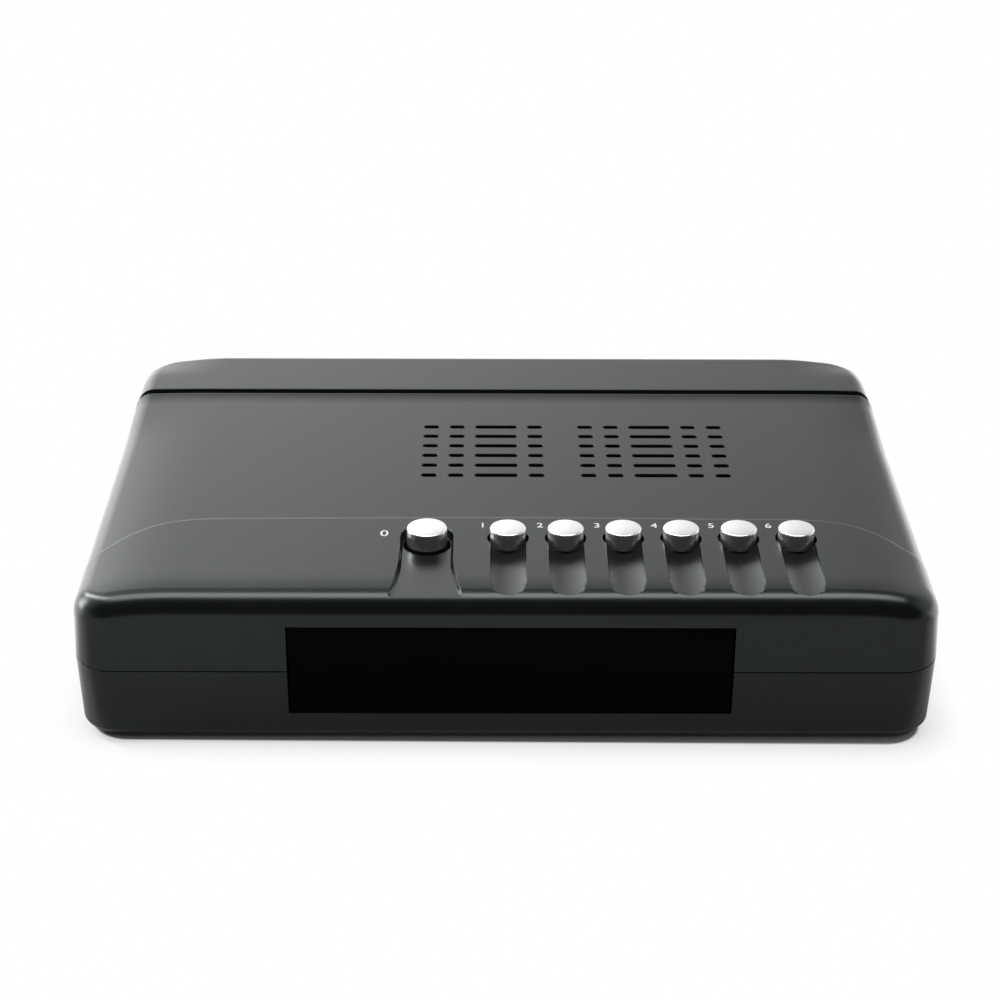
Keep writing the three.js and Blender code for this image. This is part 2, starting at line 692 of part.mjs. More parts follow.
function lowerCase() {
  const inner = levelForm(
    wallThickness + (partingHeight - floorTopHeight) * lowerSlope, wallThickness,
    floorTopHeight, partingHeight + overrun,
  );
  let shell = lowerForm(lowerRim).subtract(inner);
  const tongueOuter = wallThickness - tongueThickness;
  const tongueTop = lowerRim + tongueHeight;
  const tongue = levelForm(tongueOuter, tongueOuter, lowerRim - tongueHeight, tongueTop)
    .subtract(levelForm(wallThickness, wallThickness, partingHeight - overrun * 2, tongueTop + overrun));
  shell = shell.add(tongue);

  const bosses = caseScrewPlaces.map(([x, y]) => toSolid(
    uprightCylinder(caseBossRadius, x, y, floorTopHeight - seatGap, lowerRim, roundSteps),
  ));
  const boardBosses = mainBossPlaces.map(([x, y]) => toSolid(uprightCylinder(
    bossRadius, x, y, floorTopHeight - seatGap, mainBoardUnderHeight - seatGap, finePieceSteps,
  )));

  // Two slotted posts hold the ends of the display board
  const postLength = boardThickness + bossRadius * 2;
  const postMiddleY = (displayBoardFrontY + displayBoardRearY) / 2;
    const posts = [-1, 1].map((side) => {
    const inside = windowCentreX + side * (displayBoardHalfWidth - bossRadius);
    const outside = windowCentreX + side * (displayBoardHalfWidth + bossRadius);
    return toSolid(boxShape(
      [Math.min(inside, outside), postMiddleY - postLength / 2, floorTopHeight - seatGap],
      [Math.max(inside, outside), postMiddleY + postLength / 2, lowerRim],
    ));
  });
  const displaySlot = toSolid(boxShape(
    [windowCentreX - displayBoardHalfWidth - looseFit, displayBoardFrontY - looseFit,
      displayBoardBottomZ - seatGap],
    [windowCentreX + displayBoardHalfWidth + looseFit, displayBoardRearY + looseFit,
      partingHeight + overrun],
  ));

  // Two posts stand in front of the rear panel, so that it can't lean inwards
  const stops = [-1, 1].map((side) => {
    const inside = side * (panelHalfWidth - bossRadius * 2);
    const outside = side * (panelHalfWidth - bossRadius);
    const rear = panelInnerY - looseFit;
    return toSolid(boxShape(
      [Math.min(inside, outside), rear - bossRadius, floorTopHeight - seatGap],
      [Math.max(inside, outside), rear, lowerRim],
    ));
  });
  shell = joined(shell, ...bosses, ...boardBosses, ...posts, ...stops);

  const counterbores = caseScrewPlaces.map(([x, y]) => toSolid(uprightCylinder(
    counterboreRadius, x, y, standHeight - overrun, caseScrewSeatHeight, roundSteps,
  )));
  const shaftHoles = caseScrewPlaces.map(([x, y]) => toSolid(uprightCylinder(
    caseScrewRadius + looseFit, x, y, standHeight, partingHeight + overrun, finePieceSteps,
  )));
  const pilots = mainBossPlaces.map(([x, y]) => toSolid(uprightCylinder(
    screwRadius + pilotGap, x, y, floorTopHeight + seatGap, mainBoardUnderHeight + overrun,
    finePieceSteps,
  )));
  const footSockets = footPlaces.map(([x, y]) => toSolid(uprightCylinder(
    footRadius + looseFit, x, y, standHeight - overrun, standHeight + footSocketDepth,
  )));
  const vents = [-1, 1].flatMap((side) => Array.from({ length: floorVentCount }, (_, i) => {
    const prism = upright(
      slotShape(floorVentLength, floorVentWidth), standHeight - overrun, floorTopHeight + overrun,
    );
    const y = (i - (floorVentCount - 1) / 2) * floorVentPitch;
    return toSolid(prism.translate(side * floorVentGroupX, y, 0));
  }));
  return cutBy(
    shell, windowOpening, rearOpening, panelPocket, displaySlot,
    ...counterbores, ...shaftHoles, ...pilots, ...footSockets, ...vents,
  );
}
addPiece('lower_case', toGeometry(lowerCase()), 'shell');

// Front window: a plate that fills the opening, with a flange behind the wall
function frontWindow() {
  const plateRearY = windowFaceY + windowPlateThickness;
  const pane = (grow, front, rear) => {
    const [left, right] = [windowLeftX - grow, windowRightX + grow];
    const [low, high] = [windowBottomZ - grow, windowTopZ + grow];
    const r = windowCornerRadius;
    const shape = new THREE.Shape();
    shape.moveTo(left + r, low);
    shape.lineTo(right - r, low);
    shape.absarc(right - r, low + r, r, -Math.PI / 2, 0);
    shape.lineTo(right, high - r);
    shape.absarc(right - r, high - r, r, 0, Math.PI / 2);
    shape.lineTo(left + r, high);
    shape.absarc(left + r, high - r, r, Math.PI / 2, Math.PI);
    shape.lineTo(left, low + r);
    shape.absarc(left + r, low + r, r, Math.PI, Math.PI * 3 / 2);
    const flat = upright(shape, 0, rear - front);
    return toSolid(flat.rotateX(Math.PI / 2).translate(0, rear, 0));
  };
  return pane(0, windowFaceY, windowFlangeRearY).add(
    pane(windowFlangeWidth, plateRearY, windowFlangeRearY),
  );
}
addPiece('front_window', toGeometry(frontWindow()), 'window');

// Rubber feet, glued into the sockets of the lower case
const footTop = standHeight + footSocketDepth - seatGap;
footPlaces.forEach(([x, y], i) => {
  const bevel = footSocketDepth / 3;
  const foot = turnedUpright([
    [0, 0], [footRadius - bevel, 0], [footRadius, bevel], [footRadius, footTop], [0, footTop],
  ]);
  addPiece(`rubber_foot_${i + 1}`, foot.translate(x, y, 0), 'rubber');
});

// Buttons: a cap, a flange that keeps it under the case, and a stem over its switch
const capRimHeight = topHeight + capStandHeight;
const flangeTop = padUnderHeight - looseFit;
const flangeBottom = flangeTop - capFlangeThickness;
const switchBottom = keyBoardTopHeight + seatGap;
const plungerTop = switchBottom + switchTotalHeight;
const stemBottom = plungerTop + looseFit;
buttons.forEach((button) => {
  const rim = capRimRadius;
  const cap = turnedUpright([
    [0, stemBottom], [capStemRadius, stemBottom], [capStemRadius, flangeBottom],
    [flangeRadius(button), flangeBottom], [flangeRadius(button), flangeTop],
    [button.radius, flangeTop], [button.radius, capRimHeight - rim],
    [button.radius - rim, capRimHeight], [button.radius / 2, capRimHeight + capDome * 3 / 4],
    [0, capRimHeight + capDome],
  ]);
  addPiece(button.name, cap.translate(button.x, buttonRowY, 0), 'silver');
});

// Switches: a square body with a well, and the plunger that moves in it
const wellBottom = switchBottom + switchBodyHeight - plungerDepth - buttonTravel - looseFit;
buttons.forEach((button) => {
  const half = switchSide / 2;
  const body = toSolid(boxShape(
    [button.x - half, buttonRowY - half, switchBottom],
    [button.x + half, buttonRowY + half, switchBottom + switchBodyHeight],
  )).subtract(toSolid(uprightCylinder(
    plungerRadius + plungerGap, button.x, buttonRowY, wellBottom, plungerTop, finePieceSteps,
  )));
  const switchName = button.name.replace('_button', '_switch');
  addPiece(switchName, toGeometry(body), 'blackPlastic');
  addPiece(`${switchName}_plunger`, uprightCylinder(
    plungerRadius, button.x, buttonRowY, switchBottom + switchBodyHeight - plungerDepth, plungerTop,
    finePieceSteps,
  ), 'blackPlastic');
});

// Key board, under the switches, screwed to the two bosses of the upper case
const screwHole = (x, y, bottom, top) => toSolid(
  uprightCylinder(screwRadius + looseFit, x, y, bottom - overrun, top + overrun, finePieceSteps),
);
const keyBoardEdges = [
  keyBossXs[0] - keyBoardSideMargin, keyBossXs[1] + keyBoardSideMargin,
];
const keyBoard = cutBy(
  toSolid(boxShape(
    [keyBoardEdges[0], buttonRowY - keyBoardFrontReach, keyBoardUnderHeight],
    [keyBoardEdges[1], buttonRowY + keyBoardRearReach, keyBoardTopHeight],
  )),
  ...keyBossXs.map((x) => screwHole(x, buttonRowY, keyBoardUnderHeight, keyBoardTopHeight)),
);
addPiece('key_board', toGeometry(keyBoard), 'board');

// A pan-head screw along +Z, from the tip of its shaft to its head
function panScrew(radius, headRadius, headHeight, length) {
  return turnedUpright([
    [0, 0], [radius * 2 / 3, 0], [radius, radius], [radius, length], [headRadius, length],
    [headRadius, length + headHeight / 2], [headRadius * 2 / 3, length + headHeight],
    [0, length + headHeight],
  ], finePieceSteps);
}
keyBossXs.forEach((x, i) => {
  const head = keyBoardUnderHeight - seatGap;
  const length = padUnderHeight - head - screwEndGap;
  const screw = panScrew(screwRadius, screwHeadRadius, screwHeadHeight, length).rotateX(Math.PI);
  addPiece(`key_board_screw_${i + 1}`, screw.translate(x, buttonRowY, head + length), 'steel');
});

// Display board in its slots, with the figures' module and the remote control's receiver
const windowCentreZ = (windowBottomZ + windowTopZ) / 2;
addPiece('display_board', boxShape(
  [windowCentreX - displayBoardHalfWidth, displayBoardFrontY, displayBoardBottomZ],
  [windowCentreX + displayBoardHalfWidth, displayBoardRearY, displayBoardTopZ],
), 'board');
addPiece('display_module', boxShape(
  [windowCentreX - displayWidth / 2, displayFrontY, windowCentreZ - displayHeight / 2],
  [windowCentreX + displayWidth / 2, displayFrontY + displayDepth, windowCentreZ + displayHeight / 2],
), 'blackPlastic');

const receiverLensShare = 0.4;
function infraredReceiver() {
  const x = windowCentreX + receiverOffset;
  const rear = displayBoardFrontY - seatGap;
  const block = toSolid(boxShape(
    [x - receiverWidth / 2, rear - receiverDepth, windowCentreZ - receiverHeight / 2],
    [x + receiverWidth / 2, rear, windowCentreZ + receiverHeight / 2],
  ));
  const lensRadius = receiverWidth * receiverLensShare;
  const lens = new THREE.SphereGeometry(lensRadius, finePieceSteps, finePieceSteps / 2);
  return block.add(toSolid(lens.translate(x, rear - receiverDepth, windowCentreZ)));
}
addPiece('infrared_receiver', toGeometry(infraredReceiver()), 'blackPlastic');

// Main board on its four bosses
const mainBoard = cutBy(
  toSolid(boxShape(
    [-mainBoardHalfWidth, mainBoardFrontY, mainBoardUnderHeight],
    [mainBoardHalfWidth, mainBoardRearY, mainBoardTop],
  )),
  ...mainBossPlaces.map(([x, y]) => screwHole(x, y, mainBoardUnderHeight, mainBoardTop)),
);
addPiece('main_board', toGeometry(mainBoard), 'board');
mainBossPlaces.forEach(([x, y], i) => {
  const seat = mainBoardTop + seatGap;
  const length = seat - floorTopHeight - screwEndGap;
  const screw = panScrew(screwRadius, screwHeadRadius, screwHeadHeight, length);
  addPiece(`board_screw_${i + 1}`, screw.translate(x, y, seat - length), 'steel');
});

// Case screws, driven up from under the lower case
caseScrewPlaces.forEach(([x, y], i) => {
  const head = caseScrewSeatHeight - seatGap;
  const screw = panScrew(
    caseScrewRadius, caseScrewHeadRadius, caseScrewHeadHeight, caseScrewLength,
  ).rotateX(Math.PI);
  addPiece(`case_screw_${i + 1}`, screw.translate(x, y, head + caseScrewLength), 'steel');
});

// What stands on the main board, in front of the sockets
const onBoard = mainBoardTop + seatGap;
const chipSide = 27;
const chipThickness = 1.6;
const chipX = 4;
const chipRearInset = 65.2;
const chipY = mainBoardRearY - chipRearInset;
const standingBox = (x, y, width, length, bottom, height) => boxShape(
  [x - width / 2, y - length / 2, bottom], [x + width / 2, y + length / 2, bottom + height],
);
addPiece('processor_chip',
  standingBox(chipX, chipY, chipSide, chipSide, onBoard, chipThickness), 'blackPlastic');
const memoryWidth = 13;
const memoryLength = 9;
const memoryX = -30;
addPiece('memory_chip',
  standingBox(memoryX, chipY, memoryWidth, memoryLength, onBoard, chipThickness), 'blackPlastic');

const finCount = 7;
const finThickness = 1.2;
const finHeight = 9;
const sinkBase = 2;
const sinkSide = 29;
function heatsink() {
  const bottom = onBoard + chipThickness + seatGap;
  const shape = new THREE.Shape();
  const left = -sinkSide / 2;
  const pitch = (sinkSide - finThickness) / (finCount - 1);
  shape.moveTo(left, bottom);
  shape.lineTo(-left, bottom);
  for (let fin = finCount - 1; fin >= 0; fin -= 1) {
    const finLeft = left + fin * pitch;
    shape.lineTo(finLeft + finThickness, bottom + (fin === finCount - 1 ? 0 : sinkBase));
    shape.lineTo(finLeft + finThickness, bottom + sinkBase + finHeight);
    shape.lineTo(finLeft, bottom + sinkBase + finHeight);
    shape.lineTo(finLeft, bottom + (fin === 0 ? 0 : sinkBase));
  }
  return alongX(shape, -sinkSide / 2, sinkSide / 2).translate(chipX, chipY, 0);
}
addPiece('processor_heatsink', welded(heatsink()), 'aluminium');

const capacitorRadius = 5;
const capacitorHeight = 16;
const capacitorGrooveShare = 0.08;
const capacitorSideInset = 26; // from the left side of the board
const capacitorRearInsets = [37.2, 53.2];
const capacitorX = -mainBoardHalfWidth + capacitorSideInset;
capacitorRearInsets.forEach((inset, i) => {
  const groove = capacitorRadius * capacitorGrooveShare;
  const can = turnedUpright([
    [0, 0], [capacitorRadius, 0], [capacitorRadius, groove * 3], [capacitorRadius - groove, groove * 5],
    [capacitorRadius, groove * 7], [capacitorRadius, capacitorHeight - groove],
    [capacitorRadius - groove, capacitorHeight], [0, capacitorHeight],
  ]);
  addPiece(`capacitor_${i + 1}`, can.translate(capacitorX, mainBoardRearY - inset, onBoard), 'blue');
});

// Tuner can and its two threaded antenna connectors, which reach out through the panel
const tunerRearY = mainBoardRearY;
const antennaAxisZ = onBoard + antennaAxisRise;
addPiece('tuner_can', boxShape(
  [tunerCentreX - tunerWidth / 2, tunerRearY - tunerLength, onBoard],
  [tunerCentreX + tunerWidth / 2, tunerRearY, onBoard + tunerHeight],
), 'steel');
const antennaXs = [tunerCentreX + antennaPitch / 2, tunerCentreX - antennaPitch / 2];
const antennaNames = ['dish_input_connector', 'loop_output_connector'];
const threadPitch = 1.7;
const threadDepth = 0.4;
const antennaFlangeRadius = 6.2;
const antennaFlangeThickness = 1.2;
const contactHoleRadius = 0.9;
const contactHoleDepth = 4;
const insulatorRadius = 3.6;
const insulatorSink = 0.8;
const threadSteps = 14;
function antennaConnector() {
  const start = tunerRearY + seatGap;
  const end = panelOuterY + antennaReach;
  const crest = antennaBarrelRadius;
  const threadStart = panelOuterY + seatGap + antennaFlangeThickness;
  const profile = [
    [0, start], [antennaBarrelRadius, start],
    [antennaBarrelRadius, panelOuterY + seatGap],
    [antennaFlangeRadius, panelOuterY + seatGap],
    [antennaFlangeRadius, threadStart],
    [crest, threadStart],
  ];
  const turns = Math.floor((end - threadStart) / threadPitch) - 1;
  for (let i = 0; i < turns; i += 1) {
    const ridge = threadStart + (i + 1) * threadPitch;
    profile.push([crest - threadDepth, ridge - threadPitch / 2], [crest, ridge]);
  }
  profile.push(
    [crest, end - threadDepth], [crest - threadDepth, end], [insulatorRadius, end],
    [insulatorRadius, end - insulatorSink], [contactHoleRadius, end - insulatorSink],
    [contactHoleRadius, end - insulatorSink - contactHoleDepth], [0, end - insulatorSink - contactHoleDepth],
  );
  return turnedToRear(profile, threadSteps);
}
antennaNames.forEach((name, i) => {
  addPiece(name, antennaConnector().translate(antennaXs[i], 0, antennaAxisZ), 'nickel');
});

// Video and audio sockets: a plastic body with a metal barrel round its bore
const socketFrontY = mainBoardRearY - socketDepth;
const panelInside = panelInnerY - seatGap;
function audioSocket(x) {
  const axisZ = onBoard + audioAxisRise;
  const end = panelOuterY + audioReach;
  const body = toSolid(boxShape(
    [x - audioBodyWidth / 2, socketFrontY, onBoard],
    [x + audioBodyWidth / 2, panelInside, onBoard + audioBodyHeight],
  ));
  const barrel = toSolid(levelCylinder(audioBarrelRadius, x, axisZ, socketFrontY + overrun, end));
  const bore = toSolid(levelCylinder(audioBoreRadius, x, axisZ, end - boreDepth, end + overrun,
    finePieceSteps));
  return body.add(barrel).subtract(bore);
}
const audioSockets = audioSocketNames.map((name, i) => ({
  name, x: audioCentreX + ((audioSocketNames.length - 1) / 2 - i) * audioPitch,
}));
const audioColours = ['yellow', 'white', 'red'];
audioSockets.forEach(({ name, x }, i) => {
  addPiece(name, toGeometry(audioSocket(x)), audioColours[i]);
});

// A sheet-metal socket shell, open to the rear, with a tongue inside
function shellSocket(x, width, height, tongueThicknessShare, tongueRiseShare) {
  const end = panelOuterY + socketProud;
  const box = toSolid(boxShape(
    [x - width / 2, socketFrontY, onBoard], [x + width / 2, end, onBoard + height],
  ));
  const hollow = toSolid(boxShape(
    [x - width / 2 + sheetWall, end - boreDepth, onBoard + sheetWall],
    [x + width / 2 - sheetWall, end + overrun, onBoard + height - sheetWall],
  ));
  const room = height - sheetWall * 2;
  const tongueLow = onBoard + sheetWall + room * tongueRiseShare;
  const tongue = toSolid(boxShape(
    [x - width / 2 + sheetWall * 3, end - boreDepth - sheetWall, tongueLow],
    [x + width / 2 - sheetWall * 3, end - sheetWall * 2, tongueLow + room * tongueThicknessShare],
  ));
  return box.subtract(hollow).add(tongue);
}
const hdmiTongueShares = [0.3, 0.35];
const usbTongueShares = [0.32, 0.6];
addPiece('hdmi_socket',
  toGeometry(shellSocket(hdmiCentreX, hdmiWidth, hdmiHeight, ...hdmiTongueShares)), 'nickel');
addPiece('usb_socket',
  toGeometry(shellSocket(usbCentreX, usbWidth, usbHeight, ...usbTongueShares)), 'nickel');

// Power inlet: a round bore with a centre pin, for the plug of an outside supply
function powerJack() {
  const axisZ = onBoard + powerJackAxisRise;
  const end = panelOuterY + socketProud;
  const body = toSolid(boxShape(
    [powerJackX - powerJackWidth / 2, socketFrontY, onBoard],
    [powerJackX + powerJackWidth / 2, end, onBoard + powerJackHeight],
  ));
  const bore = toSolid(levelCylinder(powerJackBoreRadius, powerJackX, axisZ, end - boreDepth,
    end + overrun));
  const pin = toSolid(levelCylinder(powerJackPinRadius, powerJackX, axisZ,
    end - boreDepth - seatGap, end - socketProud, finePieceSteps));
  return body.subtract(bore).add(pin);
}
addPiece('power_inlet', toGeometry(powerJack()), 'blackPlastic');

// Rear panel, cut round each socket
function rearPanel() {
  const [front, rear] = [panelInnerY - overrun, panelOuterY + overrun];
  const plate = toSolid(boxShape(
    [-panelHalfWidth, panelInnerY, panelBottomZ], [panelHalfWidth, panelOuterY, panelTopZ],
  ));
  const round = (x, z, radius) => toSolid(levelCylinder(radius + looseFit, x, z, front, rear));
  const square = (x, width, height) => toSolid(boxShape(
    [x - width / 2 - looseFit, front, onBoard - looseFit],
    [x + width / 2 + looseFit, rear, onBoard + height + looseFit],
  ));
  return cutBy(
    plate,
    ...antennaXs.map((x) => round(x, antennaAxisZ, antennaBarrelRadius)),
    ...audioSockets.map(({ x }) => round(x, onBoard + audioAxisRise, audioBarrelRadius)),
    square(hdmiCentreX, hdmiWidth, hdmiHeight),
    square(usbCentreX, usbWidth, usbHeight),
    square(powerJackX, powerJackWidth, powerJackHeight),
  );
}
addPiece('rear_panel', toGeometry(rearPanel()), 'blackPlastic');

// Flat ribbon cables between the boards, whole, each a strip that follows a smooth curve in Y and Z
const ribbonWidth = 12;
const ribbonThickness = 0.8;
const ribbonSteps = 8;
function ribbonCable(x, start, startPull, endPull, end) {
  const points = [start, startPull, endPull, end].map(([y, z]) => new THREE.Vector2(y, z));
  const curve = new THREE.CubicBezierCurve(...points);
  const sides = [1, -1].map((side) => Array.from({ length: ribbonSteps + 1 }, (_, i) => {
    const t = i / ribbonSteps;
    const tangent = curve.getTangent(t);
    const reach = side * ribbonThickness / 2;
    const middle = curve.getPoint(t);
    return new THREE.Vector2(middle.x - tangent.y * reach, middle.y + tangent.x * reach);
  }));
  const shape = new THREE.Shape([...sides[1], ...sides[0].reverse()]);
  return welded(alongX(shape, x - ribbonWidth / 2, x + ribbonWidth / 2));
}
const keyRibbonX = 30;
const keyRibbonBow = 9;
const keyRibbonY = mainBoardFrontY + ribbonWidth / 2;
addPiece('key_ribbon_cable', ribbonCable(
  keyRibbonX,
  [keyRibbonY, onBoard],
  [keyRibbonY, onBoard + keyRibbonBow],
  [buttonRowY, keyBoardUnderHeight - keyRibbonBow],
  [buttonRowY, keyBoardUnderHeight - seatGap],
), 'ribbon');
const displayRibbonX = -20;
const displayRibbonRise = 5;
const displayRibbonLanding = 3.5;
addPiece('display_ribbon_cable', ribbonCable(
  displayRibbonX,
  [displayBoardRearY + seatGap, mainBoardTop + displayRibbonRise],
  [mainBoardFrontY + displayRibbonLanding, mainBoardTop + displayRibbonRise],
  [mainBoardFrontY + displayRibbonLanding, mainBoardTop + displayRibbonRise],
  [mainBoardFrontY + displayRibbonLanding, onBoard],
), 'ribbon');

// The origin is under the middle of the whole receiver, sockets and all
const rearReach = panelOuterY + antennaReach;
receiver.position.y = (halfDepth - rearReach) / 2;

export default receiver;
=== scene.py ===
import json
import math

import bmesh
import bpy
import numpy as np
from mathutils import Matrix, Vector
from mathutils.geometry import delaunay_2d_cdt


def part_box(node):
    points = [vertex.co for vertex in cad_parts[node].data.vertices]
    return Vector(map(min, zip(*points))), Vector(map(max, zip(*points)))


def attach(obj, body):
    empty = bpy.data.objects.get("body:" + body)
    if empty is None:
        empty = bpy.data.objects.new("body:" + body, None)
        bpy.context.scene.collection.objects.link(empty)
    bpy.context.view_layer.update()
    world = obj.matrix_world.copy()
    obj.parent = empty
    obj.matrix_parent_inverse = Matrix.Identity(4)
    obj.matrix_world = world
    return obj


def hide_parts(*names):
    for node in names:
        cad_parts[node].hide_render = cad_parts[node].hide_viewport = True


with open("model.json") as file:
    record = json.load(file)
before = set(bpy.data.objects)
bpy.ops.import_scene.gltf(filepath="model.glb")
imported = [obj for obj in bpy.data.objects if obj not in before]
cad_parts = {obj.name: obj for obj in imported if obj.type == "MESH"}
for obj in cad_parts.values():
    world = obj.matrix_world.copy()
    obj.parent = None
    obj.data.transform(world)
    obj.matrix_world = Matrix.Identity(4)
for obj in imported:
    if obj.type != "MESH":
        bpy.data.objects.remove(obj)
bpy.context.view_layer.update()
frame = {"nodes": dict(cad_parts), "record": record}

# Camera: a long lens that looks down on the receiver from the front. Its place and its angles
# follow from the edges of the case in the reference view.
CAMERA_PLACE = (-0.00464, -0.56568, 0.31393)
CAMERA_PITCH, CAMERA_YAW, CAMERA_ROLL = (math.radians(a) for a in (26.726, 0.329, 0.276))
CAMERA_LENS, CAMERA_FILM, CAMERA_CLIP = 80.527, 36, (0.01, 30)
ahead = Vector((math.sin(CAMERA_YAW) * math.cos(CAMERA_PITCH),
                math.cos(CAMERA_YAW) * math.cos(CAMERA_PITCH), -math.sin(CAMERA_PITCH)))
level = Vector((math.cos(CAMERA_YAW), -math.sin(CAMERA_YAW), 0))
upward = level.cross(ahead)
right = level * math.cos(CAMERA_ROLL) + upward * math.sin(CAMERA_ROLL)
up = upward * math.cos(CAMERA_ROLL) - level * math.sin(CAMERA_ROLL)
camera = bpy.data.objects.new("camera", bpy.data.cameras.new("camera"))
camera.data.lens = CAMERA_LENS
camera.data.sensor_width = CAMERA_FILM
camera.data.clip_start, camera.data.clip_end = CAMERA_CLIP
camera.matrix_world = Matrix.Translation(CAMERA_PLACE) @ Matrix((
    (right.x, up.x, -ahead.x, 0), (right.y, up.y, -ahead.y, 0), (right.z, up.z, -ahead.z, 0),
    (0, 0, 0, 1)))
bpy.context.scene.collection.objects.link(camera)
bpy.context.scene.camera = camera
bpy.context.scene.view_settings.view_transform = "Standard"


# Studio: a pale floor, a white backdrop behind the receiver, a large lamp overhead, a long one at its left
# and a soft box beyond that. The dark room in front shows along the glossy front edge. For glossy rays the
# floor
# has painted reflection: painted dark in front of the receiver and a painted glow behind and beside it.
class Wire:
    """A value on its way from one shader node to the next."""

    def __init__(self, finish, socket):
        self.finish, self.socket = finish, socket

    def maths(self, operation, *others):
        return self.finish.node("Math", {"operation": operation}, [self, *others])

    def __add__(self, other):
        return self.maths("ADD", other)

    def __sub__(self, other):
        return self.maths("SUBTRACT", other)

    def __rsub__(self, other):
        return self.finish.node("Math", {"operation": "SUBTRACT"}, [other, self])

    def __mul__(self, other):
        return self.maths("MULTIPLY", other)

    def __truediv__(self, other):
        return self.maths("DIVIDE", other)

    __radd__, __rmul__ = __add__, __mul__

    def between(self, low, high, start=0.0, end=1.0):
        """Runs smoothly from start to end while this value goes from low to high."""
        return self.finish.node("MapRange", {"interpolation_type": "SMOOTHSTEP"},
                                {"Value": self, "From Min": low, "From Max": high,
                                 "To Min": start, "To Max": end})


class Finish:
    """A node tree of a material, a lamp or the world, built from the values that it mixes."""

    def __init__(self, owner):
        owner.use_nodes = True
        self.tree = owner.node_tree
        self.tree.nodes.clear()

    def node(self, kind, settings=None, inputs=(), output=0):
        made = self.tree.nodes.new("ShaderNode" + kind)
        for name, value in (settings or {}).items():
            if name == "stops":
                stops = made.color_ramp.elements
                while len(stops) < len(value):
                    stops.new(1.0)
                for stop, (place, colour) in zip(stops, value):
                    stop.position, stop.color = place, colour
            else:
                setattr(made, name, value)
        named = inputs.items() if isinstance(inputs, dict) else enumerate(inputs)
        for name, value in named:
            if isinstance(value, Wire):
                self.tree.links.new(value.socket, made.inputs[name])
            else:
                made.inputs[name].default_value = value
        return Wire(self, made.outputs[output]) if made.outputs else made

    def parts(self, vector):
        split = self.tree.nodes.new("ShaderNodeSeparateXYZ")
        self.tree.links.new(vector.socket, split.inputs[0])
        return [Wire(self, socket) for socket in split.outputs]

    def blend(self, share, first, second):
        """Mixes two colours, from the first at share 0 to the second at share 1."""
        return self.node("Mix", {"data_type": "RGBA"}, {0: share, 6: first, 7: second}, output=2)


# Each range runs over the direction that is looked at. The two numbers after it, where it has
# them, are the levels at its start and at its end.
WHITE = (1, 1, 1, 1)
AMBIENT, ROOM_LEVEL = 0.25, 0.02
BACKDROP_START, BACKDROP_TOP, ABOVE_BACKDROP = (-0.3, -0.1), (0.53, 0.75), (-0.3, 0.3, 0.54, 0.3)
BACKDROP_LEVEL, FAR_START = (-0.35, 0.35, 1.7, 0.63), (0.3, 0.7)
FAR_LEFT, FAR_RIGHT = (-0.72, -0.12, 1.4, 0), (0.2, 0.6, 0, 0.5)
LEFT_END, LEFT_END_START, LEFT_END_DIM = (-0.62, -0.45, 1, 0), (0.62, 0.82, 1, 0), 0.8
NEAR_FLOOR_TOP, NEAR_FLOOR_START = (0.02, 0.1), (-0.6, -0.2)
BOX_SIDE, BOX_START, BOX_TOP = (-0.92, -0.76, 9, 0), (0.15, 0.35), (0.3, 0.5, 1, 0)
world = bpy.data.worlds.new("studio")
bpy.context.scene.world = world
light = Finish(world)
side, depth, height = light.parts(light.node("TexCoord", output="Generated"))
backdrop = depth.between(*BACKDROP_START) * height.between(*BACKDROP_TOP, 1, side.between(*ABOVE_BACKDROP))
backdrop_level = side.between(*BACKDROP_LEVEL)
backdrop_level += (side.between(*FAR_LEFT) + side.between(*FAR_RIGHT)) * depth.between(*FAR_START)
backdrop_level *= 1 - LEFT_END_DIM * side.between(*LEFT_END) * depth.between(*LEFT_END_START)
near_floor = (1 - height.between(*NEAR_FLOOR_TOP)) * depth.between(*NEAR_FLOOR_START)
soft_box = side.between(*BOX_SIDE) * depth.between(*BOX_START) * height.between(*BOX_TOP)
shown = (backdrop * backdrop_level).maths("MAXIMUM", near_floor) + soft_box
shown = shown * (1 - ROOM_LEVEL) + ROOM_LEVEL
for_camera, for_gloss, for_glass = (
    light.node("LightPath", output="Is %s Ray" % kind) for kind in ("Camera", "Glossy", "Transmission"))
mirrored = (for_gloss + for_glass).maths("MINIMUM", 1)
strength = AMBIENT * (1 - mirrored) + shown * mirrored
strength = strength * (1 - for_camera) + for_camera
light.node("OutputWorld", inputs={"Surface": light.node(
    "Background", inputs={"Color": WHITE, "Strength": strength})})


def lamp(name, place, target, width, length, power, turn):
    data = bpy.data.lights.new(name, "AREA")
    data.shape, data.size, data.size_y, data.energy = "RECTANGLE", width, length, power
    made = bpy.data.objects.new(name, data)
    made.location = place
    made.rotation_euler = (Vector(target) - Vector(place)).to_track_quat("-Z", "Y").to_euler()
    made.rotation_euler.rotate_axis("Z", math.radians(turn))
    bpy.context.scene.collection.objects.link(made)


lamp("overhead_lamp", place=(0, -0.14, 1.25), target=(0, -0.02, 0), width=1.3, length=0.52, power=9.8,
     turn=11)
lamp("side_lamp", place=(-0.86, 0.3, 0.79), target=(0, 0, 0.03), width=1.15, length=0.14, power=7.5,
     turn=57)

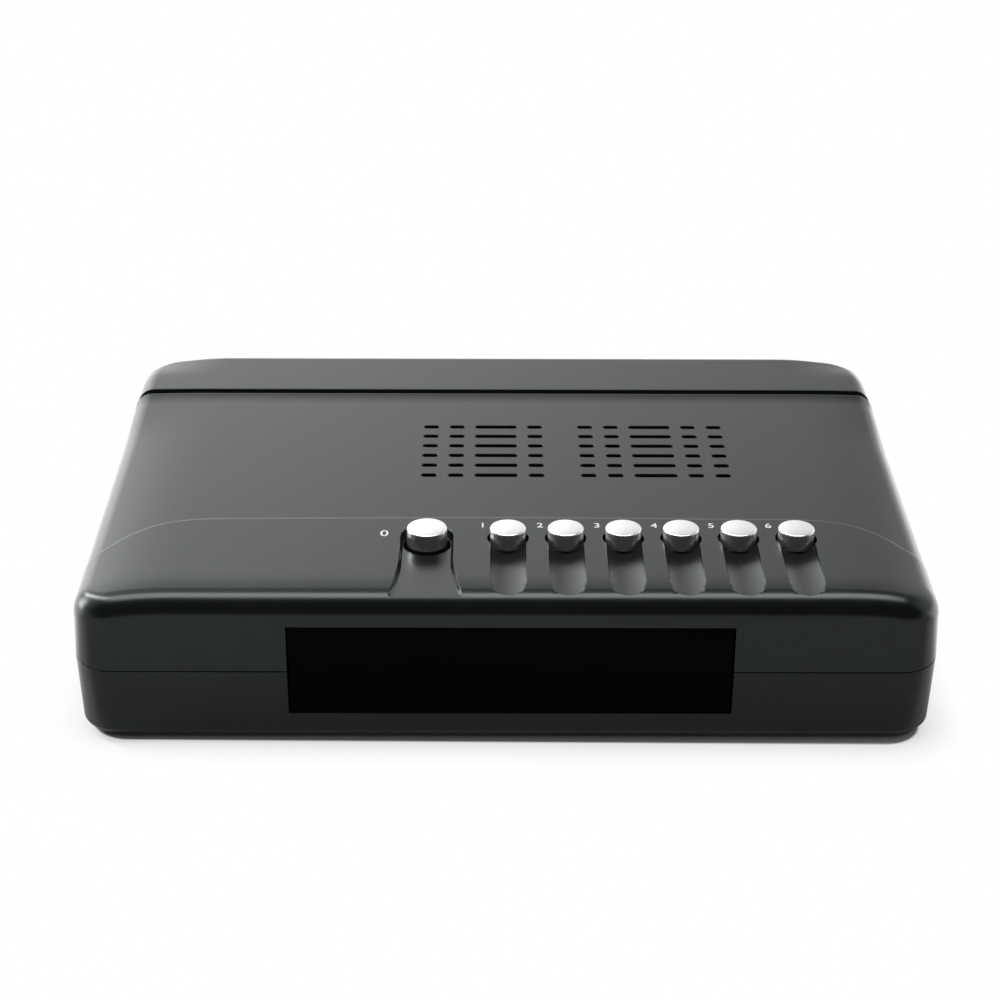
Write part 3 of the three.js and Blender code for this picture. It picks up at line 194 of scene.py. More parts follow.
FLOOR_REACH, FLOOR_SIDES, FLOOR_COLOUR = 2.5, 96, (0.93, 0.93, 0.93, 1)
SHADE_HALF_WIDTH, SHADE_HALF_DEPTH, SHADE_CORNER = 0.107, 0.0754, 0.010
SHADE_CENTRE, SHADE_SKEW = -0.0046, 0.0092
SHADE_CLOSE, SHADE_WIDE = (0.0, 0.0009, 0, 0.62), (0.0, 0.014, 0, 0.38)
# Painted reflection on the floor, seen by glossy rays only: a painted glow beside and behind the receiver,
# and in front of it a painted dark share, which is less at its foot and leaves a painted light line there.
FRONT_START, PAINTED_GLOW_START, PAINTED_GLOW_SHARE, PAINTED_GLOW_LEVEL = (-0.07, -0.02, 1, 0), (0, 0.004), 0.9, 2.1
PAINTED_DARK_SHARE, PAINTED_DARK_FAR, PAINTED_DARK_NEAR = 0.51, (-0.33, -0.22, 0.45, 0), (-0.13, -0.1, 0, 0.13)
PAINTED_LIGHT_AT_FOOT = (-0.086, -0.081, 0, 0.35)
floor_mesh = bpy.data.meshes.new("floor")
floor_mesh.from_pydata([(math.cos(a) * FLOOR_REACH, math.sin(a) * FLOOR_REACH, 0) for a in np.linspace(
    0, 2 * math.pi, FLOOR_SIDES, endpoint=False)], [], [range(FLOOR_SIDES)])
floor = bpy.data.objects.new("floor", floor_mesh)
bpy.context.scene.collection.objects.link(floor)
paint = Finish(bpy.data.materials.new("pale_floor"))
x, y, _ = paint.parts(paint.node("TexCoord", output="Object"))
from_side = (x.maths("ABSOLUTE") - (SHADE_HALF_WIDTH - SHADE_CORNER)).maths("MAXIMUM", 0)
from_front = (y - SHADE_CENTRE).maths("ABSOLUTE") - (SHADE_HALF_DEPTH - SHADE_CORNER + x * SHADE_SKEW)
from_front = from_front.maths("MAXIMUM", 0)
away = ((from_side * from_side + from_front * from_front).maths("SQRT") - SHADE_CORNER).maths("MAXIMUM", 0)
mirror = paint.node("LightPath", output="Is Glossy Ray")
glass = paint.node("LightPath", output="Is Transmission Ray")
seen = (paint.node("LightPath", output="Is Camera Ray") + glass).maths("MINIMUM", 1)
in_front = y.between(*FRONT_START)
# Painted shade for glossy rays: how much of the floor in front is painted dark, less right at the foot, where
# it leaves painted light.
painted_dark_share = PAINTED_DARK_SHARE + y.between(*PAINTED_DARK_FAR) + y.between(*PAINTED_DARK_NEAR) - y.between(*PAINTED_LIGHT_AT_FOOT)
# The floor under the lamps, with a painted glow that glossy rays see behind and beside the receiver.
lit_with_painted_glow = paint.node("MixShader", inputs=[
    mirror * (1 - in_front) * away.between(*PAINTED_GLOW_START) * PAINTED_GLOW_SHARE,
    paint.node("BsdfDiffuse", inputs={"Color": FLOOR_COLOUR}),
    paint.node("Emission", inputs={"Color": WHITE, "Strength": PAINTED_GLOW_LEVEL})])
# For glossy rays the floor in front of the receiver is painted dark by that share.
shaded_and_painted_dark = paint.node("MixShader", inputs=[
    mirror * in_front * painted_dark_share, lit_with_painted_glow, paint.node("Emission", inputs={"Color": WHITE, "Strength": 0.0})])
paint.node("OutputMaterial", inputs={"Surface": paint.node("MixShader", inputs=[
    (away.between(*SHADE_CLOSE) + away.between(*SHADE_WIDE)) * seen, shaded_and_painted_dark,
    paint.node("Emission", inputs={"Color": WHITE, "Strength": 1.0})])})
floor_mesh.materials.append(bpy.data.materials["pale_floor"])


# Lower case: a tray moulded in black plastic, with drafted walls, a rounded lower edge and a rim
# that stands inside the upper case. Air slots, screw wells and foot sockets are moulded into its floor.
MM = 0.001
CASE_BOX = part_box("lower_case")
CASE_Y = (CASE_BOX[0].y + CASE_BOX[1].y) / 2 / MM
HALF_WIDTH, HALF_DEPTH = ((CASE_BOX[1][k] - CASE_BOX[0][k]) / 2 / MM for k in (0, 1))
CORNER = 11.0
PARTING = 22.0
PARTING_GAP = 0.15
WALL = 2.2
LOWER_SLOPE = math.tan(math.radians(2.6))
STAND = 0.8
CHAMFER_TOP, CHAMFER_INSET = 3.9, 3.3
FLOOR_TOP = 3.4
TONGUE, TONGUE_INSET, INNER_RIM_RISE = 1.5, 1.2, 0.5
WINDOW_X = (-55.3, 57.3)
REAR_X = (-93.6, 93.6)
LOWER_WINDOW_EDGE, LOWER_REAR_EDGE, PAST_WALL = 9.4, 8.8, 40
LOWER_ROUND, LOWER_ROUND_STEPS = 1.4, 6
FOOT_IN, FOOT_SOCKET, FOOT_SOCKET_DEPTH, SOCKET_WALL = (22, 21.7), 6.3, 0.8, 0.06
SCREW_IN, SCREW_WELL, SCREW_SEAT, SCREW_CLEARANCE = (13, 16.7), 3.2, 12.0, 1.8
BOSS_RADIUS, BOSS_ROOT, BOSS_RISE = 4.6, 0.4, 0.001
AIR_SLOT_X, AIR_SLOT_PITCH, AIR_SLOT_ROWS, AIR_SLOT_LENGTH, AIR_SLOT_WIDTH = 34, 10, 6, 34, 2.4
LOWER_GRID_IN, LOWER_GRID_STEP = 12, 8
ROUND_STEPS, RIM_RING = 64, 0.12


def arc(centre, radius, start, end, steps):
    """Points on an arc in degrees, both ends included."""
    turn = np.radians(np.linspace(start, end, steps + 1))
    return np.column_stack([centre[0] + radius * np.cos(turn), centre[1] + radius * np.sin(turn)])


def circle(centre, radius, steps=ROUND_STEPS):
    return arc(centre, radius, 0, 360, steps)[:-1]


def slot(centre, length, width, steps=8):
    reach = (length - width) / 2
    return np.vstack([arc((centre[0] + reach, centre[1]), width / 2, -90, 90, steps),
                      arc((centre[0] - reach, centre[1]), width / 2, 90, 270, steps)])


def softened(corners, radius=0.5, steps=3, closed=True):
    """A line through corners, with each corner rounded. An open line keeps its two ends."""
    corners = np.array(corners, float)
    line = []
    for before, here, after in zip(np.roll(corners, 1, 0), corners, np.roll(corners, -1, 0)):
        a, b = ((end - here) / np.linalg.norm(end - here) for end in (before, after))
        reach = radius / math.tan(math.acos(np.clip(a @ b, -1, 1)) / 2)
        for t in np.linspace(0, 1, steps + 1):
            line.append((1 - t) ** 2 * (here + a * reach) + 2 * t * (1 - t) * here
                        + t ** 2 * (here + b * reach))
    return np.array(line) if closed else np.vstack([corners[:1], line[steps + 1:-steps - 1], corners[-1:]])


def case_ring(inset, station=6.0, corner_steps=18):
    """The case's outline, moved inwards, as a closed loop. A negative inset unrolls the walls."""
    radius = CORNER - inset
    reach = np.array([HALF_WIDTH - CORNER, HALF_DEPTH - CORNER])
    loop = []
    corners = ((1, -1), (1, 1), (-1, 1), (-1, -1))
    for quarter, corner in enumerate(corners):
        bend = arc(reach * corner, radius, quarter * 90 - 90, quarter * 90, corner_steps)
        after = arc(reach * corners[(quarter + 1) % 4], radius, quarter * 90, quarter * 90, 0)[0]
        count = max(2, round(np.linalg.norm(after - bend[-1]) / station))
        share = np.linspace(0, 1, count + 1)[1:-1, None]
        loop += [bend, bend[-1] * (1 - share) + after * share]
    return np.vstack(loop)


def unrolled(plan):
    """For points of the unrolled case: how far in from its outline each lies, and which way out is."""
    inner = np.array([HALF_WIDTH - CORNER, HALF_DEPTH - CORNER])
    past = np.abs(plan) - inner
    at_corner = (past > 0).all(1)
    distance = np.where(at_corner, np.hypot(*np.maximum(past, 0).T), past.max(1))
    outward = np.where(at_corner[:, None], past, np.eye(2)[np.argmax(past, 1)])
    outward = outward / np.linalg.norm(outward, axis=1, keepdims=True) * np.sign(plan + 1e-9)
    return CORNER - distance, outward


def rolled(plan, p, outward, inset):
    """Moves points of the unrolled case in to their real inset."""
    return plan + outward * (p - inset)[:, None]


def within(points, loop):
    """Which points lie inside a closed loop."""
    ax, ay = loop.T
    bx, by = np.roll(loop, -1, 0).T
    low, high = loop.min(0), loop.max(0)
    near = np.where(((points >= low) & (points <= high)).all(1))[0]
    px, py = points[near, 0:1], points[near, 1:2]
    crosses = ((ay > py) != (by > py)) & (px < (bx - ax) * (py - ay) / (by - ay + 1e-30) + ax)
    found = np.zeros(len(points), bool)
    found[near] = crosses.sum(1) % 2 == 1
    return found


def triangles(rim, holes, loops, lines, points):
    """Fills a rim with triangles, round its holes and along every loop and line."""
    coords, edges, count = [], [], 0
    for line, closed in [(loop, True) for loop in (rim, *holes, *loops)] + [(q, False) for q in lines]:
        last = len(line) if closed else len(line) - 1
        edges += [(count + i, count + (i + 1) % len(line)) for i in range(last)]
        coords.append(line)
        count += len(line)
    coords.append(points)
    filled = delaunay_2d_cdt([Vector(c) for c in np.vstack(coords)], edges, [], 0, 1e-5, False)
    plan = np.array([list(v) for v in filled[0]])
    tris = np.array(filled[2])
    middle = plan[tris].mean(1)
    keep = within(middle, rim)
    for hole in holes:
        keep &= ~within(middle, hole)
    tris = tris[keep]
    a, b, c = (plan[tris[:, k]] for k in range(3))
    area = np.cross(b - a, c - a)
    tris[area < 0] = tris[area < 0][:, ::-1]
    tris = tris[np.abs(area) > 1e-7]
    used, back = np.unique(tris, return_inverse=True)
    return plan[used], back.reshape(-1, 3)


def add_object(name, vertices, faces, normals=None, material=None):
    """A mesh object from points in millimetres, with its shading normals for each face corner."""
    mesh = bpy.data.meshes.new(name)
    mesh.from_pydata(((np.asarray(vertices) + (0, CASE_Y, 0)) * MM).tolist(), [], [list(f) for f in faces])
    mesh.shade_smooth()
    if normals is not None:
        mesh.normals_split_custom_set(np.asarray(normals).tolist())
    made = bpy.data.objects.new(name, mesh)
    bpy.context.scene.collection.objects.link(made)
    if material:
        mesh.materials.append(material)
    return made


def unit(vectors):
    """Rows of vectors, each brought to a length of one."""
    return vectors / (np.linalg.norm(vectors, axis=1, keepdims=True) + 1e-12)


def facings(points, faces):
    """The way that each face looks, with its area as the length."""
    a, b, c = (points[faces[:, k]] for k in range(3))
    return np.cross(b - a, c - a)


def moulded_shell(name, plan, tris, outer, inner, material, inside_out=False, extra=()):
    """A closed shell: its outer skin, its inner skin and the wall round every opening."""
    count, step, same_way = len(plan), 0.02, 0.9
    skins = np.vstack([outer(plan), inner(plan)])
    across = [outer(plan + d) - outer(plan - d) for d in (np.array([step, 0]), np.array([0, step]))]
    outer_soft = unit(np.cross(*across))
    edges = np.vstack([tris[:, [0, 1]], tris[:, [1, 2]], tris[:, [2, 0]]])
    key = edges.min(1) * count + edges.max(1)
    _, first, times = np.unique(key, return_index=True, return_counts=True)
    rim = edges[first[times == 1]]
    walls = np.column_stack([rim[:, 1], rim[:, 0], rim[:, 0] + count, rim[:, 1] + count])
    flat = unit(facings(skins, walls))
    around = np.zeros((count, 3))
    for end in (0, 1):
        np.add.at(around, rim[:, end], flat)
    around = unit(around)
    corners = []
    for end in (1, 0, 0, 1):
        soft = around[rim[:, end]]
        corners.append(np.where((soft * flat).sum(1)[:, None] > same_way, soft, flat))
    wall_normals = np.stack(corners, 1).reshape(-1, 3)
    inner_tris = tris[:, ::-1] + count
    inner_flat = facings(skins, inner_tris)
    inner_soft = np.zeros((count * 2, 3))
    for k in range(3):
        np.add.at(inner_soft, inner_tris[:, k], inner_flat)
    inner_soft = unit(inner_soft)
    faces = [tris, walls, inner_tris]
    normals = [outer_soft[tris.ravel()], wall_normals, inner_soft[inner_tris.ravel()]]
    if inside_out:
        faces = [f[:, ::-1] for f in faces]
        normals = [-n.reshape(f.shape[0], f.shape[1], 3)[:, ::-1].reshape(-1, 3)
                   for n, f in zip(normals, faces)]
    vertices, face_list = [skins], [f.tolist() for f in faces]
    start = len(skins)
    for points, more in extra:
        vertices.append(points)
        face_list.append([[start + i for i in f] for f in more])
        for f in more:
            corner = np.array(points)[list(f)]
            n = np.cross(corner[1] - corner[0], corner[2] - corner[0])
            normals.append(np.tile(n / (np.linalg.norm(n) + 1e-12), (len(f), 1)))
        start += len(points)
    return add_object(name, np.vstack(vertices), [f for group in face_list for f in group],
                      np.vstack(normals), material)


def turned(profile, steps=ROUND_STEPS, centre=(0.0, 0.0, 0.0), to_rear=False):
    """A solid turned round an axis from pairs of radius and height, which start and end on the axis."""
    turn = np.linspace(0, 2 * math.pi, steps, endpoint=False)
    points, faces, rings = [], [], []
    for radius, height in profile:
        if radius == 0:
            rings.append([len(points)] * steps)
            points.append((0.0, 0.0, height))
        else:
            rings.append(list(range(len(points), len(points) + steps)))
            points += [(radius * math.cos(t), radius * math.sin(t), height) for t in turn]
    for low, high in zip(rings, rings[1:]):
        for i in range(steps):
            j = (i + 1) % steps
            face = list(dict.fromkeys((low[i], low[j], high[j], high[i])))
            if len(face) > 2:
                faces.append(face)
    points = np.array(points)
    if to_rear:
        points = np.column_stack([-points[:, 0], points[:, 2], points[:, 1]])
    return points + centre, faces


def post(centre, radius, bores, bottom, top):
    """A round post with a stepped bore up from its bottom. Each bore is a radius and the height that it
    reaches, from the widest to the narrowest."""
    path = [(0, bores[-1][1])]
    for k in range(len(bores) - 1, -1, -1):
        bore, reach = bores[k]
        path += [(bore, reach), (bore, bores[k - 1][1] if k else bottom)]
    return turned(path + [(radius, bottom), (radius, top), (0, top)], 32, (*centre, 0))


def plastic(name, colour, roughness, grain, grain_depth, tint=(1, 1, 1, 1)):
    """Moulded plastic with the fine even grain that a spark-eroded mould leaves, in metres."""
    made = bpy.data.materials.new(name)
    finish = Finish(made)
    place = finish.node("TexCoord", output="Object")
    pits = finish.node("TexNoise", inputs={
        "Vector": place, "Scale": 1 / grain, "Detail": 3.0, "Roughness": 0.6})
    cloud = finish.node("TexNoise", inputs={"Vector": place, "Scale": 38.0, "Detail": 4.0, "Roughness": 0.55})
    handled = finish.node("TexNoise", inputs={"Vector": place, "Scale": 160.0, "Detail": 5.0})
    tone = cloud.between(0.35, 0.65)
    finish.node("OutputMaterial", inputs={"Surface": finish.node("BsdfPrincipled", inputs={
        "Base Color": finish.blend(tone, (*[c * 0.9 for c in colour], 1), (*[c * 1.12 for c in colour], 1)),
        "Roughness": roughness + (pits - 0.5) * 0.1 + (handled - 0.5) * 0.05,
        "IOR": 1.54, "Specular Tint": tint,
        "Normal": finish.node("Bump", inputs={"Height": pits, "Strength": 0.35, "Distance": grain_depth})})})
    return made


case_black = plastic("case_black", colour=(0.0050, 0.0064, 0.0060), roughness=0.25, grain=0.00024,
                     grain_depth=0.00002, tint=(0.9, 0.98, 0.98, 1))

LOWER_RIM = PARTING - PARTING_GAP
LOWER_WALL_INSET = (LOWER_RIM - CHAMFER_TOP) * LOWER_SLOPE
lower_profile = softened([(CHAMFER_INSET + 1, STAND), (CHAMFER_INSET, STAND), (LOWER_WALL_INSET, CHAMFER_TOP),
                          (0, LOWER_RIM)], LOWER_ROUND, LOWER_ROUND_STEPS, closed=False)
# Each row of the path: how far in it lies on the unrolled tray, the real inset and height of the
# outer skin, and those of the inner skin.
LOWER_PATH = []
reach = CHAMFER_INSET + 1
for k, (inset, z) in enumerate(lower_profile):
    reach -= np.linalg.norm(lower_profile[k] - lower_profile[k - 1]) if k else 0
    LOWER_PATH.append((reach, inset, z, max(WALL, inset), max(FLOOR_TOP, z) if inset < WALL else FLOOR_TOP))
rim_p = LOWER_PATH[-1][0]
LOWER_PATH += [
    (rim_p - TONGUE_INSET, TONGUE_INSET, LOWER_RIM, WALL, PARTING + INNER_RIM_RISE),
    (rim_p - TONGUE_INSET - TONGUE, TONGUE_INSET, LOWER_RIM + TONGUE, WALL, LOWER_RIM + TONGUE)]
LOWER_PATH = np.array(LOWER_PATH[::-1])
FOOT_PLACES, SCREW_PLACES = ([(sx * (HALF_WIDTH - in_x), sy * (HALF_DEPTH - in_y)) for sx in (-1, 1)
                              for sy in (-1, 1)] for in_x, in_y in (FOOT_IN, SCREW_IN))


def lower_outer(plan):
    p, outward = unrolled(plan)
    inset, height = (np.interp(p, LOWER_PATH[:, 0], LOWER_PATH[:, k]) for k in (1, 2))
    inset = np.where(p > CHAMFER_INSET + 1, p, inset)
    for place in FOOT_PLACES:
        away = np.hypot(*(plan - place).T)
        height = height + FOOT_SOCKET_DEPTH * np.clip((FOOT_SOCKET - away) / SOCKET_WALL, 0, 1)
    return np.column_stack([rolled(plan, p, outward, inset), height])


def lower_inner(plan):
    p, outward = unrolled(plan)
    inset, height = (np.interp(p, LOWER_PATH[:, 0], LOWER_PATH[:, k]) for k in (3, 4))
    inset = np.where(p > CHAMFER_INSET + 1, p, inset)
    return np.column_stack([rolled(plan, p, outward, inset), height])


def notch(x_range, wall_p, sign):
    """An opening in the front or rear wall, as a loop on the unrolled case."""
    left, right = x_range
    near, far = sign * (HALF_DEPTH - wall_p), sign * (HALF_DEPTH + PAST_WALL)
    return np.array([(left, near), (right, near), (right, far), (left, far)])


def lower_p(height):
    """Where a height of the tray's wall lies on the unrolled tray."""
    return rim_p + (LOWER_RIM - height) / math.cos(math.atan(LOWER_SLOPE))


def grid(low, high, step):
    """Rows of points that are set off by half a step, so that their triangles are even."""
    xs = np.arange(low[0], high[0] + 1e-6, step[0])
    rows = []
    for k, y in enumerate(np.arange(low[1], high[1] + 1e-6, step[1])):
        rows.append(np.column_stack([xs + (k % 2) * step[0] / 2, np.full(len(xs), y)]))
    return np.vstack(rows)


def case_grid(inset, step):
    """Rows of points over the whole case, from an inset on every side."""
    return grid((-HALF_WIDTH + inset, -HALF_DEPTH + inset), (HALF_WIDTH - inset, HALF_DEPTH - inset),
                (step, step))


openings = [notch(WINDOW_X, lower_p(LOWER_WINDOW_EDGE), -1), notch(REAR_X, lower_p(LOWER_REAR_EDGE), 1)]
openings += [circle(place, SCREW_WELL, steps=40) for place in SCREW_PLACES]
openings += [slot((side * AIR_SLOT_X, (i - (AIR_SLOT_ROWS - 1) / 2) * AIR_SLOT_PITCH), AIR_SLOT_LENGTH,
                  AIR_SLOT_WIDTH) for side in (-1, 1) for i in range(AIR_SLOT_ROWS)]
rings = [case_ring(p) for p in (*LOWER_PATH[1:, 0], rim_p + RIM_RING, rim_p - RIM_RING)]
rings += [circle(place, FOOT_SOCKET - d, steps=48) for place in FOOT_PLACES for d in (0, SOCKET_WALL)]
plan, tris = triangles(case_ring(LOWER_PATH[0, 0]), openings, rings, [],
                       case_grid(LOWER_GRID_IN, LOWER_GRID_STEP))
bosses = [post(place, BOSS_RADIUS, [(SCREW_WELL, SCREW_SEAT), (SCREW_CLEARANCE, LOWER_RIM)],
               FLOOR_TOP - BOSS_ROOT, LOWER_RIM + BOSS_RISE) for place in SCREW_PLACES]
lower_case = moulded_shell("lower_case_shell", plan, tris, lower_outer, lower_inner, case_black, True, bosses)
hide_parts("lower_case")
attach(lower_case, "receiver_body")


# Upper case: the same black plastic. Its top is level in the middle and falls to both sides, and
# the air slots, the groove, the finger scoops and the power button's recess are moulded into it.
TOP = 43.4
TOP_EDGE = 5.2
TOP_THICKNESS = 2.4
UPPER_SLOPE = math.tan(math.radians(1.4))
FALL_WIDTH, FALL_FRONT, FALL_REAR, FALL_AT_GROOVE = 30.0, 4.6, 1.6, 0.15
LEVELLING, LEVELLING_END = (15, 38), (56, 24)
ROLL_START, ROLL_LENGTH, ROLL_DROP = -66.0, 6.0, 0.3
REAR_CORNER_DROP, REAR_CORNER_X, REAR_CORNER_Y = 1.05, (84, 22), (60, 15)
RABBET_INSET, RABBET_HEIGHT = 0.9, 1.5
UPPER_WALL = TOP - TOP_EDGE - PARTING - PARTING_GAP
UPPER_WALL_INSET = (TOP - TOP_EDGE - PARTING) * UPPER_SLOPE
TOP_FLAT_INSET = UPPER_WALL_INSET + TOP_EDGE
TOP_BEND = TOP_EDGE * math.pi / 2
WALL_TOP_P = TOP_FLAT_INSET - TOP_BEND
RIM_P = WALL_TOP_P - UPPER_WALL
RIM_END = RIM_P - RABBET_INSET - RABBET_HEIGHT
INNER_START, INNER_STEP = PARTING + PARTING_GAP + RABBET_HEIGHT, 0.5
UPPER_WINDOW_EDGE, UPPER_REAR_EDGE = 35.4, 33.8
GROOVE_Y, GROOVE_HALF, GROOVE_DEPTH, GROOVE_WALL = HALF_DEPTH - 30.0, 1.95, 1.3, 0.08
GROOVE_FRONT_EDGE, GROOVE_REAR_EDGE = 0.75, 0.3
STRIP_SINK = 0.12
LIP_HEIGHT, LIP_LENGTH = 0.6, 6.0
ROW_Y = -HALF_DEPTH + 32.3
POWER_X = -20.6
BUTTON_XS = [0.45 + 15 * i for i in range(6)]
SMALL_HOLE, POWER_HOLE, HOLE_EDGE = 5.4, 6.2, 0.15
HOLE_Y = ROW_Y - 0.45
SCOOP_HALF, SCOOP_REAR_DEPTH, SCOOP_FRONT_DEPTH, SCOOP_RUN = 4.5, 1.8, 0.9, (-1, 1.2)
RECESS_RADIUS, RECESS_REAR_DEPTH, RECESS_FRONT_DEPTH, RECESS_WALL = 7.0, 2.0, 1.2, 0.6
RECESS_RUN, RECESS_REACH = (-0.2, 1.1), 16
PAD_BOTTOM, PAD_EDGE = TOP - TOP_THICKNESS - 1.4, 1.0
PAD_LEFT, PAD_RIGHT, PAD_FRONT, PAD_REAR = -41, 89, -70, -36.5
VENT_WIDTH, VENT_LENGTH, SHORT_VENT_LENGTH, VENT_EDGE = 2.0, 12.0, 4.4, 0.18
VENT_ROWS, VENT_PITCH, REAR_VENT_Y = 6, 6.3, HALF_DEPTH - 54.8
VENT_COLUMNS = [HALF_WIDTH - 112.5 + x for x in (0, -11.1, 11.1, -18.5)]
VENT_COLUMNS += [HALF_WIDTH - 68.5 + x for x in (0, -11.1, 11.1, -18.5, 18.5)]
LONG_VENT_COLUMNS = (0, 4)
VENTS = [(x, REAR_VENT_Y - VENT_PITCH * row, VENT_LENGTH if k in LONG_VENT_COLUMNS else SHORT_VENT_LENGTH)
         for k, x in enumerate(VENT_COLUMNS) for row in range(VENT_ROWS)]
CREASE_HALF = np.array([(0, -33.8), (54, -34.4), (79, -34.9), (86, -36.2), (89.5, -37.1), (93.2, -38.9),
                        (97, -41.6), (100.6, -44.7), (103.6, -48.0), (106.6, -50.1), (110, -50.9)])
CREASE = np.vstack([CREASE_HALF[:0:-1] * (-1, 1), CREASE_HALF])
CREASE_STEP, CREASE_SIDE_STEP, CREASE_SIDE = 0.22, 0.12, (80, 28)
CREASE_WIDTH, CREASE_LENGTH = 1.1, 40.0


def curve_through(points, spacing):
    """A smooth line through points, with a point about every spacing."""
    points = np.asarray(points, float)
    ends = np.vstack([2 * points[0] - points[1], points, 2 * points[-1] - points[-2]])
    line = []
    for a, b, c, d in zip(ends, ends[1:], ends[2:], ends[3:]):
        t = np.linspace(0, 1, max(2, round(np.linalg.norm(c - b) / spacing)) + 1)[:-1, None]
        line.append(0.5 * (2 * b + (c - a) * t + (2 * a - 5 * b + 4 * c - d) * t ** 2
                           + (3 * b - a - 3 * c + d) * t ** 3))
    return np.vstack(line + [points[-1:]])


def distance_to(points, line):
    """How far points lie from a line, positive on its right-hand side."""
    nearest = np.full(len(points), 1e9)
    side = np.zeros(len(points))
    for a, b in zip(line, line[1:]):
        along = b - a
        share = np.clip((points - a) @ along / (along @ along), 0, 1)[:, None]
        gap = points - (a + share * along)
        length = np.hypot(*gap.T)
        closer = length < nearest
        nearest = np.where(closer, length, nearest)
        side = np.where(closer, np.sign(along[1] * gap[:, 0] - along[0] * gap[:, 1]), side)
    return nearest * side


def smooth(value, start=0.0, length=1.0):
    """Rises softly from 0 to 1 over a length from a start."""
    value = np.clip((value - start) / length, 0, 1)
    return value * value * (3 - 2 * value)


def rounded(distance, radius):
    """How far a rounded edge has dropped at a distance from the brink."""
    gap = np.clip(radius - distance, 0, radius)
    return radius - np.sqrt(radius * radius - gap * gap)


crease_line = curve_through(CREASE, 2.0)
recess_left, recess_right = (curve_through(
    [(POWER_X + side * RECESS_RADIUS, ROW_Y)] + [(POWER_X + x, y) for x, y in run], 1.0)
    for side, run in (
        (-1, ((-6.9, -53), (-7.0, -59), (-7.5, -65), (-8.3, -70.5), (-9.2, -75), (-10.4, -79))),
        (1, ((6.9, -53), (7.0, -59), (7.6, -64.5), (8.4, -70), (9.5, -74.5), (10.8, -79)))))
recess_outline = np.vstack([recess_right[::-1], arc((POWER_X, ROW_Y), RECESS_RADIUS, 0, 180, 40)[1:-1],
                            recess_left])


def top_at(x, y):
    """The height of the top before anything is moulded into it."""
    share = np.clip((y + HALF_DEPTH) / (2 * HALF_DEPTH), 0, 1)
    fall = FALL_FRONT + (FALL_REAR - FALL_FRONT) * share
    fall = fall * (1 - (1 - FALL_AT_GROOVE) * smooth(y, *LEVELLING) * (1 - smooth(y, *LEVELLING_END)))
    out = np.maximum(0, np.abs(x) - HALF_WIDTH + FALL_WIDTH) / FALL_WIDTH
    roll = np.maximum(0, (ROLL_START - y) / ROLL_LENGTH)
    roll = ROLL_DROP * np.where(roll < 1, roll * roll, 2 * roll - 1)
    corner = REAR_CORNER_DROP * smooth(np.abs(x), *REAR_CORNER_X) * smooth(y, *REAR_CORNER_Y)
    return TOP - fall * out ** 3 - roll - corner


def forward(y):
    """How far in front of the button row a place lies, as a share of the way to the front."""
    return (ROW_Y - y) / (ROW_Y + HALF_DEPTH)


def scoop_floor(off, y):
    """The height of a finger scoop's round floor, beside its middle."""
    depth = SCOOP_REAR_DEPTH + (SCOOP_FRONT_DEPTH - SCOOP_REAR_DEPTH) * np.clip(forward(y), *SCOOP_RUN)
    radius = (SCOOP_HALF ** 2 + depth ** 2) / (2 * depth)
    return TOP - depth + radius - np.sqrt(np.maximum(radius ** 2 - off ** 2, 0))


def recess_floor(y):
    """The height of the level floor in front of the power button."""
    return TOP - RECESS_REAR_DEPTH + (RECESS_REAR_DEPTH - RECESS_FRONT_DEPTH) * np.clip(
        forward(y), *RECESS_RUN)


